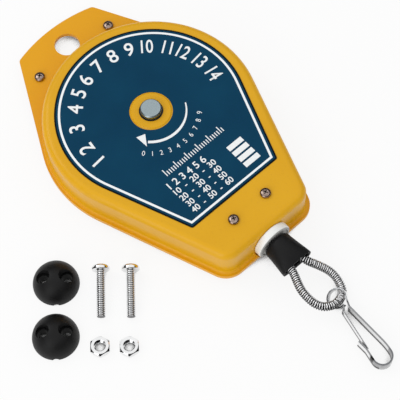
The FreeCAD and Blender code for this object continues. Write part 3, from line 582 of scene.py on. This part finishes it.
def woundSheath(loop):
    # close-wound wire round the loop; the frame that carries it turns with the line, and doesn't twist
    setup = loopSetup
    line = pointsOf(loop)
    gone = [0.0]
    for a, b in zip(line, line[1:]):
        gone.append(gone[-1] + (b - a).length)
    start, end = setup["sheathInset"], gone[-1] - setup["sheathInset"]
    count = round((end - start) / setup["wirePitch"] * setup["wireSteps"])
    out = setup["sheathRadius"] - setup["wireRadius"]
    side = up.copy()
    turns = []
    piece = 0
    for step in range(count + 1):
        reach = start + (end - start) * step / count
        while gone[piece + 1] < reach and piece < len(gone) - 2:
            piece += 1
        a, b = line[piece], line[piece + 1]
        share = (reach - gone[piece]) / (gone[piece + 1] - gone[piece])
        ahead = (b - a).normalized()
        side = (side - ahead * side.dot(ahead)).normalized()
        angle = 2 * math.pi * step / setup["wireSteps"]
        spoke = side * math.cos(angle) + ahead.cross(side) * math.sin(angle)
        turns.append(a.lerp(b, share) + spoke * out)
    wire = lineCurve("sheathWire", turns, setup["wireRadius"], 1)
    mesh = bpy.data.meshes.new_from_object(wire)
    bpy.data.objects.remove(wire)
    sheath = meshPiece("loopSheathWire", mesh, [finishes["sheathWire"]], "rope_end", 60)
    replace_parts(sheath, "loop_sheath")
    # a dark tube inside the wire, as painted shade in the gaps between the turns
    sheathed = [point for point, reach in zip(line, gone) if start <= reach <= end]
    inner = lineCurve("sheathGapShade", sheathed, setup["gapShadeRadius"], 3)
    gapShadeTube = meshPiece("loopSheathGapShade", bpy.data.meshes.new_from_object(inner), [finishes["gapShadeTube"]],
                      "rope_end", 60)
    bpy.data.objects.remove(inner)
    return sheath, gapShadeTube


def lineCurve(name, points, radius, sides):
    # a round section swept straight from point to point
    wire = bpy.data.curves.new(name, "CURVE")
    wire.dimensions = "3D"
    spline = wire.splines.new("POLY")
    spline.points.add(len(points) - 1)
    for point, place in zip(spline.points, points):
        point.co = (*place, 1.0)
    wire.bevel_depth = radius
    wire.bevel_resolution = sides
    wire.use_fill_caps = True
    return bpy.data.objects.new(name, wire)


print("rope and loop")
ropeRun()
loop = ropeLoop()
sheath, gapShadeTube = woundSheath(loop)


# screws

caseScrewSetup = {
    "headRadius": 2.9 * mm,
    "headHeight": 2.1 * mm,
    "places": [
        # X, Y, height, turn of the recess
        (-65.9, 24.6, 6.65, 12), (-65.9, -24.6, 6.65, 40), (76.0, 11.0, 25.0, 25), (76.0, -11.0, 25.0, 68),
    ],
}
stopScrewSetup = {
    "headRadius": 4.7 * mm,
    "headHeight": 3.1 * mm,
    "shankRadius": 2.45 * mm,
    "rootRadius": 1.95 * mm,
    "pitch": 1.0 * mm,
    "length": 25 * mm,
    "places": [(43.7, -73.9), (54.0, -62.6)],
    "turn": -40.2,
    "floorGap": 0.02 * mm,
}


stopNutSetup = {
    "flats": 9.6 * mm,
    "height": 4.0 * mm,
    "bore": 2.48 * mm,
    "chamfer": 1.15 * mm,
    "threadDepth": 0.4 * mm,
    "threadPitch": 0.8 * mm,
    "countersink": 0.6 * mm,
    "places": [(74.5, -100.7), (84.4, -89.8)],
    "turn": -40.2,
}


panHeadSetup = {
    # shares of the head's radius or height
    "dome": 0.66,
    "seatRadius": 0.97,
    "seatEdge": 0.08,
    "domePower": 0.8,
    "recessWidth": 0.27,
    "recessReach": 0.5,
    "recessFloor": 0.62,
    "recessTall": 2.4,
    "recessLift": 1.6,
}


def panHead(radius, height):
    # domed head on z = 0, with a tapered cross recess whose dark colour is painted shade
    setup = panHeadSetup
    shape = bmesh.new()
    rise = height * setup["dome"]
    outline = [(0.0, 0.0), (radius * setup["seatRadius"], 0.0), (radius, height * setup["seatEdge"]),
               (radius, height - rise)]
    for step in range(1, 8):
        lean = math.pi / 2 * step / 7
        outline.append((radius * math.cos(lean) ** setup["domePower"], height - rise + rise * math.sin(lean)))
    points = [shape.verts.new((x, 0, z)) for x, z in outline]
    edges = [shape.edges.new(pair) for pair in zip(points, points[1:])]
    bmesh.ops.spin(shape, geom=points + edges, cent=(0, 0, 0), axis=up, dvec=(0, 0, 0),
                   angle=2 * math.pi, steps=40, use_merge=True)
    bmesh.ops.remove_doubles(shape, verts=shape.verts, dist=1e-7)
    bmesh.ops.recalc_face_normals(shape, faces=shape.faces)
    slot = bmesh.new()
    width = radius * setup["recessWidth"]
    bmesh.ops.create_cube(slot, size=width)
    slot.normal_update()
    sides = [f for f in slot.faces if abs(f.normal.z) < 0.5]
    for face in sides:
        away = face.normal.copy()
        grown = bmesh.ops.extrude_discrete_faces(slot, faces=[face])["faces"][0]
        bmesh.ops.translate(slot, verts=grown.verts, vec=away * radius * setup["recessReach"])
    floor = [vert for vert in slot.verts if vert.co.z < 0]
    bmesh.ops.scale(slot, vec=(setup["recessFloor"], setup["recessFloor"], 1), verts=floor)
    bmesh.ops.scale(slot, vec=(1, 1, setup["recessTall"] * height / width), verts=slot.verts)
    bmesh.ops.translate(slot, vec=(0, 0, height * setup["recessLift"]), verts=slot.verts)
    bmesh.ops.recalc_face_normals(slot, faces=slot.faces)
    return carve(toMesh(shape, "head", finishes["zinc"]), toMesh(slot, "recess", finishes["socket"]))


def caseScrews():
    setup = caseScrewSetup
    head = panHead(setup["headRadius"], setup["headHeight"])
    shape = bmesh.new()
    for x, y, z, turn in setup["places"]:
        place = Matrix.Translation(Vector((x, y, z)) * mm) @ Matrix.Rotation(math.radians(turn), 4, "Z")
        addCopy(shape, head, place)
    screws = shapedPiece("caseScrewHeads", shape, [finishes["passivated"], finishes["socket"]], "casing",
                         30)
    return screws


def threadedScrew(setup):
    # upright: the head stands on z = 0 and the shank hangs below it
    shape = bmesh.new()
    pitch, crest, core = setup["pitch"], setup["shankRadius"], setup["rootRadius"]
    turns = int(setup["length"] / pitch) + 3
    steps = 24
    low = -setup["length"] - 1.5 * pitch
    outline = [(core, 0.0), (core, 0.18), (crest, 0.4), (crest, 0.6), (core, 0.82), (core, 1.0)]
    points = [shape.verts.new((r, 0, low + share * pitch)) for r, share in outline]
    edges = [shape.edges.new(pair) for pair in zip(points, points[1:])]
    bmesh.ops.spin(shape, geom=points + edges, cent=(0, 0, 0), axis=up, dvec=(0, 0, pitch / steps),
                   angle=2 * math.pi * turns, steps=steps * turns, use_merge=False)
    bmesh.ops.remove_doubles(shape, verts=shape.verts, dist=1e-7)
    # painted shade: the faces at the thread's root take a darker colour
    for face in shape.faces:
        widest = max(v.co.to_2d().length for v in face.verts)
        face.material_index = 1 if widest < core * 1.01 else 0      # the thread's root is darker
    for height, outward in ((-setup["length"], -1), (0.0, 1)):
        geometry = shape.verts[:] + shape.edges[:] + shape.faces[:]
        bmesh.ops.bisect_plane(shape, geom=geometry, plane_co=(0, 0, height), plane_no=(0, 0, outward),
                               clear_outer=True)
    bmesh.ops.holes_fill(shape, edges=[e for e in shape.edges if e.is_boundary])
    bmesh.ops.recalc_face_normals(shape, faces=shape.faces)
    addCopy(shape, panHead(setup["headRadius"], setup["headHeight"]), Matrix.Identity(4))
    return toMesh(shape, "threadedScrew")


def threadedBore(setup):
    # the room inside a nut: countersunk at both ends, with the thread's grooves between
    bore, pitch, half = setup["bore"], setup["threadPitch"], setup["height"] / 2
    wide = bore + setup["countersink"]
    threaded = 2 * half - 2 * setup["countersink"]
    outline = [(0.0, -half * 1.3), (wide * 1.1, -half * 1.3), (wide, -half)]
    outline.append((bore, -half + setup["countersink"]))
    grooves = round(threaded / pitch)
    for k in range(grooves):
        low = -half + setup["countersink"] + threaded * (k + 0.5) / grooves
        outline += [(bore + setup["threadDepth"], low), (bore, low + pitch * 0.4)]
    outline += [(wide, half), (wide * 1.1, half * 1.3), (0.0, half * 1.3)]
    shape = bmesh.new()
    points = [shape.verts.new((x, 0, z)) for x, z in outline]
    edges = [shape.edges.new(pair) for pair in zip(points, points[1:])]
    bmesh.ops.spin(shape, geom=points + edges, cent=(0, 0, 0), axis=up, dvec=(0, 0, 0),
                   angle=2 * math.pi, steps=48, use_merge=True)
    bmesh.ops.remove_doubles(shape, verts=shape.verts, dist=1e-7)
    bmesh.ops.recalc_face_normals(shape, faces=shape.faces)
    return toMesh(shape, "threadedBore", finishes["kitSteel"])


def stopNuts():
    # hexagon with both faces chamfered by a turned disc, and a thread cut through
    setup = stopNutSetup
    flats, height = setup["flats"], setup["height"]
    corner = flats / 2 / math.cos(math.pi / 6)
    hexagon = bmesh.new()
    bmesh.ops.create_cone(hexagon, cap_ends=True, segments=6, radius1=corner, radius2=corner, depth=height)
    bmesh.ops.rotate(hexagon, cent=(0, 0, 0), matrix=Matrix.Rotation(math.radians(30), 3, "Z"),
                     verts=hexagon.verts)
    disc = bmesh.new()
    bmesh.ops.create_cone(disc, cap_ends=True, segments=72, radius1=corner * 1.02, radius2=corner * 1.02,
                          depth=height)
    rims = [e for e in disc.edges if abs(abs(e.verts[0].co.z + e.verts[1].co.z) - height) < 1e-6]
    bmesh.ops.bevel(disc, geom=rims, offset=setup["chamfer"], offset_type="OFFSET", affect="EDGES",
                    segments=1, profile=0.5, material=-1)
    steel = finishes["kitSteel"]
    blank = carve(toMesh(hexagon, "hexagon", steel), toMesh(disc, "disc", steel), "INTERSECT")
    nut = carve(blank, threadedBore(setup))
    shape = bmesh.new()
    for x, y in setup["places"]:
        lift = Matrix.Translation((x * mm, y * mm, height / 2))
        addCopy(shape, nut, lift @ Matrix.Rotation(math.radians(setup["turn"]), 4, "Z"))
    nuts = shapedPiece("kitNuts", shape, [steel], "loose_nuts", 28)
    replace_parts(nuts, "stop_nuts")


def stopScrews():
    setup = stopScrewSetup
    screw = threadedScrew(setup)
    dip = math.asin((setup["headRadius"] - setup["shankRadius"]) / setup["length"])
    lay = Matrix.Rotation(math.radians(setup["turn"]), 4, "Z") @ Matrix.Rotation(dip - math.pi / 2, 4, "Y")
    lowest = min((lay @ v.co).z for v in screw.vertices)
    shape = bmesh.new()
    for x, y in setup["places"]:
        lift = Matrix.Translation((x * mm, y * mm, setup["floorGap"] - lowest))
        addCopy(shape, screw, lift @ lay)
    metals = [finishes["kitSteel"], finishes["threadRootShade"]]
    screws = shapedPiece("kitScrews", shape, metals, "loose_screws", 30)
    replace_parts(screws, "stop_screws")


# mainspring: its inner end stays in the spindle's slot while the coils turn with the drum

springSetup = {
    "tailRadius": 4.3 * mm,      # just outside the spindle
    "height": 30 * mm,
}


def splitSpring():
    setup = springSetup
    halves = [("springTail", "tension_set", "INTERSECT"), ("springCoils", "drum", "DIFFERENCE")]
    for name, body, operation in halves:
        whole = bmesh.new()
        whole.from_mesh(cadNodes["mainspring"].data)
        bmesh.ops.remove_doubles(whole, verts=whole.verts, dist=1e-6)
        core = bmesh.new()
        bmesh.ops.create_cone(core, cap_ends=True, segments=48, radius1=setup["tailRadius"],
                              radius2=setup["tailRadius"], depth=2 * setup["height"])
        steel = finishes["springSteel"]
        part = carve(toMesh(whole, name, steel), toMesh(core, "spindleRoom", steel), operation)
        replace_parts(meshPiece(name, part, [steel], body), "mainspring")


print("mainspring")
splitSpring()
print("screws, nuts and hook")
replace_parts(caseScrews(), "case_screws")
stopScrews()
stopNuts()
easedCopy("snap_hook", "hookStrip", "hook", 0.2 * mm)
easedCopy("hook_gate", "hookGate", "gate", 0.12 * mm)


# rope guide and the rubber cap on the rope's end

guideSetup = {
    "height": 12.5,             # of the rope's line
    "start": 90.95,
    "end": 95.3,
    "radius": 10.5,
    "neckRadius": 9.1,
    "neckStart": 88.6,
    "edge": 0.9,
    "stepRadius": 8.9,        # a shallow step in the front face
    "stepDepth": 0.45,
    "mouthRadius": 5.6,
    "mouthDepth": 2.2,
    "boreRadius": 2.6,
    "innerChamfer": 0.6,
    "stepSlope": 0.3,
}
capSetup = {
    "height": 12.5,
    "wall": 1.5,
    "lip": (0.45, 0.6),           # how far the mouth's edge stands in, and how deep it is
    "bore": (0.2, 7.0),           # taper and depth of the room behind it
    "ringPoints": 48,
    # along X, half width, half height, squareness of the section
    "sections": [
        (95.65, 6.6, 6.6, 2.0), (96.1, 7.3, 7.3, 2.0), (97.0, 7.75, 7.7, 2.0), (100.0, 8.0, 7.7, 2.0),
        (104.0, 8.5, 7.2, 2.1), (107.5, 9.0, 6.0, 2.3), (110.0, 9.35, 4.8, 2.6), (111.6, 9.5, 3.9, 2.8),
    ],
}


def ropeGuide():
    # a turned nylon ring: profile in the X-Y plane, spun about the rope's line
    setup = guideSetup
    centre = (0, 0, setup["height"] * mm)
    shape = bmesh.new()
    end, edge, front = setup["end"], setup["edge"], setup["end"] - setup["stepDepth"]
    outline = [
        (setup["neckStart"], setup["boreRadius"] + setup["innerChamfer"]),
        (setup["neckStart"], setup["neckRadius"]),
        (setup["start"], setup["neckRadius"]), (setup["start"], setup["radius"]),
        (end, setup["radius"]), (end, setup["stepRadius"]), (front, setup["stepRadius"] - setup["stepSlope"]),
        (front, setup["mouthRadius"]), (front - setup["mouthDepth"], setup["boreRadius"]),
        (setup["neckStart"] + setup["innerChamfer"], setup["boreRadius"]),
    ]
    points = [shape.verts.new((x * mm, y * mm, centre[2])) for x, y in outline]
    ring = shape.faces.new(points)
    turned = [v for v in ring.verts if v.co.y > (setup["neckRadius"] + 0.5) * mm]
    bmesh.ops.bevel(shape, geom=turned, offset=edge * mm, affect="VERTICES", segments=4, profile=0.5,
                    material=-1)
    bmesh.ops.spin(shape, geom=shape.faces[:] + shape.edges[:] + shape.verts[:], cent=centre, axis=(1, 0, 0),
                   dvec=(0, 0, 0), angle=2 * math.pi, steps=72, use_merge=True)
    # the front face takes the greyer copy of the nylon, as painted shade
    for face in shape.faces:
        face.material_index = 1 if min(v.co.x for v in face.verts) > (front - 0.05) * mm else 0
    nylons = [finishes["nylon"], finishes["shadedNylon"]]
    guide = shapedPiece("ropeGuideRing", shape, nylons, "casing", 35)
    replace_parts(guide, "rope_guide")


def capRing(shape, section, shrink=0.0, shift=0.0):
    setup = capSetup
    x, halfWidth, halfHeight, square = section
    verts = []
    for k in range(setup["ringPoints"]):
        angle = 2 * math.pi * k / setup["ringPoints"]
        side, rise = math.cos(angle), math.sin(angle)
        y = math.copysign(abs(side) ** (2 / square), side) * (halfWidth - shrink)
        z = math.copysign(abs(rise) ** (2 / square), rise) * (halfHeight - shrink) + setup["height"]
        verts.append(shape.verts.new(((x + shift) * mm, y * mm, z * mm)))
    return [shape.edges.new((verts[k - 1], verts[k])) for k in range(len(verts))]


def ropeCap():
    # moulded rubber boot: round nose, flattened mouth that the rope loop comes out of
    setup = capSetup
    shape = bmesh.new()
    sections = setup["sections"]
    outside = [capRing(shape, section) for section in sections]
    mouth = sections[-1]
    (lipIn, lipDeep), (taper, deep), wall = setup["lip"], setup["bore"], setup["wall"]
    inside = [capRing(shape, mouth, lipIn), capRing(shape, mouth, wall, -lipDeep),
              capRing(shape, mouth, wall + taper, -deep)]
    rings = outside + inside
    for near, far in zip(rings, rings[1:]):
        bmesh.ops.bridge_loops(shape, edges=near + far)
    bmesh.ops.holes_fill(shape, edges=[e for e in shape.edges if e.is_boundary], sides=0)
    cap = shapedPiece("ropeCapBoot", shape, [finishes["rubber"]], "rope_end", 50)
    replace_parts(cap, "rope_end_cap")


print("guide and cap")
ropeGuide()
ropeCap()


# label print: plain figures, ticks and bars

printSetup = {
    "height": 25.27 * mm,
    "dialRadius": 40.0,
    "dialAngles": [-84, -98, -117, -134, -148, -161, -176, 170, 156, 142, 126, 113, 98, 82],
    "dialSize": 11.446,
    "dialWeight": 0.12,
    "dialWidths": (0.95, 0.72),   # of one figure and of two, against their height
    "arrowRadii": (17.9, 19.4),
    "arrowFrom": 63,
    "arrowTo": -46,
    "arrowHead": [(14.6, -15.6), (8.4, -11.4), (6.8, -16.1)],
    "barBox": (42.4, 59.2, 14.1, 24.0),
    "bars": 4,
    "scaleRadius": 25.5,
    "scaleFrom": 45,
    "scaleTo": -50,
    "scaleMarks": 10,
    "scaleSize": 4.0,
    "scaleWidth": 0.9,
    "rowWeight": 0.07,
    "rowShare": 0.72,             # a figure's height against its text size
    "rows": [
        # X, from Y, to Y, height, figures
        (39.8, -23.0, 1.9, 4.2, "1 2 3 4 5 6"), (44.6, -23.0, 4.7, 3.4, "10  -  20  -  30"),
        (49.2, -23.0, 4.4, 3.4, "20  -  30  -  40"), (53.7, -22.6, 4.1, 3.4, "30  -  40  -  50"),
        (58.1, -23.0, 4.5, 3.4, "40  -  50  -  60"),
    ],
    "rulerAt": 32.6,
    "rulerFrom": -19.0,
    "rulerTo": 20.0,
    "rulerTicks": 27,
    "rulerTall": (2.6, 4.4),      # every fifth tick is the longer
    "rulerFoot": 2.2,
    "rulerWide": 0.55,
    "barShare": 0.72,
    "arrowTail": 0.45,            # width of the tail against the full stroke
    "arrowSwell": 60,             # degrees over which it swells
}


def figure(words, size, weight=0.0):
    # flat figures, centred on their own middle
    text = bpy.data.curves.new("figure", "FONT")
    text.body = words
    text.size = size
    text.offset = weight
    holder = bpy.data.objects.new("figure", text)
    mesh = bpy.data.meshes.new_from_object(holder)
    bpy.data.objects.remove(holder)
    if mesh.vertices:
        low = Vector([min(v.co[k] for v in mesh.vertices) for k in range(3)])
        high = Vector([max(v.co[k] for v in mesh.vertices) for k in range(3)])
        mesh.transform(Matrix.Translation(-(low + high) / 2))
    return mesh


def flatPlace(x, y, turn, stretch=1.0):
    height = printSetup["height"]
    place = Matrix.Translation((x * mm, y * mm, height)) @ Matrix.Rotation(math.radians(turn), 4, "Z")
    return place @ Matrix.Diagonal((stretch * mm, mm, mm, 1))


def addBar(shape, x, y, long, wide, turn=0.0):
    made = bmesh.ops.create_grid(shape, x_segments=1, y_segments=1, size=0.5)
    place = flatPlace(x, y, turn) @ Matrix.Diagonal((long, wide, 1, 1))
    bmesh.ops.transform(shape, matrix=place, verts=made["verts"])


def aroundSpindle(radius, angle):
    return radius * math.cos(math.radians(angle)), radius * math.sin(math.radians(angle))


def labelFigures():
    setup = printSetup
    shape = bmesh.new()
    for number, angle in enumerate(setup["dialAngles"], 1):
        x, y = aroundSpindle(setup["dialRadius"], angle)
        narrow = setup["dialWidths"][number > 9]
        words, turn = str(number), angle - 90
        if number == 9:                  # a six upside down: the font's own nine doesn't fill when thickened
            words, turn = "6", angle + 90
        addCopy(shape, figure(words, setup["dialSize"], setup["dialWeight"]), flatPlace(x, y, turn, narrow))
    for mark in range(setup["scaleMarks"]):
        share = mark / (setup["scaleMarks"] - 1)
        angle = setup["scaleFrom"] + (setup["scaleTo"] - setup["scaleFrom"]) * share
        x, y = aroundSpindle(setup["scaleRadius"], angle)
        addCopy(shape, figure(str(9 - mark), setup["scaleSize"]),
                flatPlace(x, y, angle + 90, setup["scaleWidth"]))
    for x, low, high, size, words in setup["rows"]:
        row = figure(words, size / setup["rowShare"], setup["rowWeight"])
        long = max(v.co.x for v in row.vertices) * 2
        addCopy(shape, row, flatPlace(x, (low + high) / 2, 90, (high - low) / long))
    for k in range(setup["rulerTicks"]):
        y = setup["rulerFrom"] + (setup["rulerTo"] - setup["rulerFrom"]) * k / (setup["rulerTicks"] - 1)
        tall = setup["rulerTall"][k % 5 == 0]
        addBar(shape, setup["rulerAt"] + setup["rulerFoot"] - tall / 2, y, tall, setup["rulerWide"])
    nearX, farX, lowY, highY = setup["barBox"]
    step = (farX - nearX) / setup["bars"]
    for k in range(setup["bars"]):
        addBar(shape, nearX + step * (k + 0.5), (lowY + highY) / 2, step * setup["barShare"],
               highY - lowY)
    return toMesh(shape, "labelFigures")


def labelArrow():
    setup = printSetup
    shape = bmesh.new()
    inner, outer = setup["arrowRadii"]
    middle = (inner + outer) / 2
    tail = setup["arrowFrom"]
    sweep = setup["arrowTo"] - tail
    ends = [shape.verts.new((*aroundSpindle(r, tail), 0)) for r in (inner, outer)]
    edge = shape.edges.new(ends)
    bmesh.ops.spin(shape, geom=ends + [edge], cent=(0, 0, 0), axis=up, dvec=(0, 0, 0),
                   angle=math.radians(sweep), steps=40, use_merge=False)
    for vert in shape.verts:             # the tail is thin and the stroke swells towards the head
        flat = vert.co.to_2d()
        angle = math.degrees(math.atan2(flat.y, flat.x))
        thin = setup["arrowTail"]
        swell = thin + (1 - thin) * min(1.0, (tail - angle) / setup["arrowSwell"])
        vert.co *= (middle + (flat.length - middle) * swell) / flat.length
    shape.faces.new([shape.verts.new((x, y, 0)) for x, y in setup["arrowHead"]])
    place = flatPlace(0, 0, 0)
    bmesh.ops.transform(shape, matrix=place, verts=shape.verts)
    return toMesh(shape, "labelArrow")


def printLabel():
    for name, mesh in (("labelFigures", labelFigures()), ("labelArrow", labelArrow())):
        shape = bmesh.new()
        shape.from_mesh(mesh)
        bmesh.ops.triangulate(shape, faces=shape.faces)
        for face in shape.faces:
            if face.normal.z < 0:
                face.normal_flip()
        shape.to_mesh(mesh)
        shape.free()
        meshPiece(name, mesh, [finishes["ink"]], "casing", 180)


print("label print")
printLabel()


# floor, light and air

studioSetup = {
    "floorSize": 4.0,
    "floorGap": 0.0001,
    "floorWhite": 0.86,       # how much of the floor's look is plain white
    "holeDark": 0.2,          # a hole as deep as this is black
    "holeSlope": 10,
    "mirrorGain": 2,
    "shadeReach": 0.03,
    "shadeSamples": 16,
    "ambient": 0.84,
    "curtainRadius": 1.6,
    "curtainLow": 0.04,
    "curtainHigh": 1.25,
    "lamps": [
        # name, place, aim, size, watts
        ("keyLamp", (-0.9, -0.35, 1.0), (0.02, -0.02, 0), 0.7, 3.0),
        ("fillLamp", (0.35, -1.1, 0.5), (0.04, -0.02, 0), 0.8, 4.0),
    ],
}


def seenStraight(finish):
    # 1 for what the eye, a mirror or glass sees
    rays = [finish.add("ShaderNodeLightPath", {}, {}, name)
            for name in ("Is Camera Ray", "Is Glossy Ray", "Is Transmission Ray")]
    return rays[0].larger(rays[1]).larger(rays[2])


def paleFloor():
    setup = studioSetup
    shape = bmesh.new()
    bmesh.ops.create_grid(shape, x_segments=1, y_segments=1, size=setup["floorSize"] / 2)
    bmesh.ops.translate(shape, vec=(0, 0, -setup["floorGap"]), verts=shape.verts)
    floor = bpy.data.objects.new("studioFloor", toMesh(shape, "studioFloor"))
    bpy.context.scene.collection.objects.link(floor)
    finish = Finish(bpy.data.materials.new("studioFloor"))
    finish.tree.nodes.remove(finish.tree.nodes["Principled BSDF"])
    matte = finish.add("ShaderNodeBsdfDiffuse", {}, {"Color": paint(236, 236, 236)})
    openness = finish.add("ShaderNodeAmbientOcclusion", {"samples": setup["shadeSamples"]},
                          {"Distance": setup["shadeReach"]}, "AO")
    mirrored = finish.add("ShaderNodeLightPath", {}, {}, "Is Glossy Ray")
    # to the eye the floor is dark only down deep holes, while mirrors see the contact shade as well
    plain = ((openness - setup["holeDark"]) * setup["holeSlope"]).least(1.0).larger(0.0)
    near = (openness * setup["mirrorGain"]).least(1.0)
    strength = plain + (near - plain) * mirrored
    glow = finish.add("ShaderNodeEmission", {}, {"Color": (1, 1, 1, 1), "Strength": strength})
    share = seenStraight(finish) * setup["floorWhite"]
    blend = finish.add("ShaderNodeMixShader", {}, {0: share, 1: matte, 2: glow})
    finish.feed(finish.tree.nodes["Material Output"].inputs["Surface"], blend)
    floor.data.materials.append(finish.owner)


def darkCurtain():
    # a low dark band round the set that only mirrors see, so that bright metal has edges
    setup = studioSetup
    shape = bmesh.new()
    low, high = setup["curtainLow"], setup["curtainHigh"]
    bmesh.ops.create_cone(shape, cap_ends=False, segments=64, radius1=setup["curtainRadius"],
                          radius2=setup["curtainRadius"], depth=high - low)
    bmesh.ops.translate(shape, vec=(0, 0, (high + low) / 2), verts=shape.verts)
    curtain = bpy.data.objects.new("darkCurtain", toMesh(shape, "darkCurtain"))
    bpy.context.scene.collection.objects.link(curtain)
    finish = Finish(bpy.data.materials.new("darkCurtain"))
    finish.tree.nodes.remove(finish.tree.nodes["Principled BSDF"])
    black = finish.add("ShaderNodeEmission", {}, {"Color": paint(10, 10, 11), "Strength": 1.0})
    finish.feed(finish.tree.nodes["Material Output"].inputs["Surface"], black)
    curtain.data.materials.append(finish.owner)
    curtain.visible_camera = False
    curtain.visible_diffuse = False
    curtain.visible_shadow = False


def softLight():
    setup = studioSetup
    world = bpy.data.worlds.new("studioAir")
    bpy.context.scene.world = world
    finish = Finish(world)
    seen = seenStraight(finish)
    strength = seen + (1 - seen) * setup["ambient"]
    back = finish.tree.nodes["Background"]
    back.inputs["Color"].default_value = (1, 1, 1, 1)
    finish.feed(back.inputs["Strength"], strength)
    for name, place, aim, size, watts in setup["lamps"]:
        lamp = bpy.data.lights.new(name, "AREA")
        lamp.size = size
        lamp.energy = watts
        holder = bpy.data.objects.new(name, lamp)
        holder.location = place
        holder.rotation_euler = (Vector(aim) - Vector(place)).to_track_quat("-Z", "Y").to_euler()
        bpy.context.scene.collection.objects.link(holder)


print("camera, floor and light")
setCamera()
paleFloor()
darkCurtain()
softLight()
bpy.context.scene.view_settings.view_transform = "Standard"
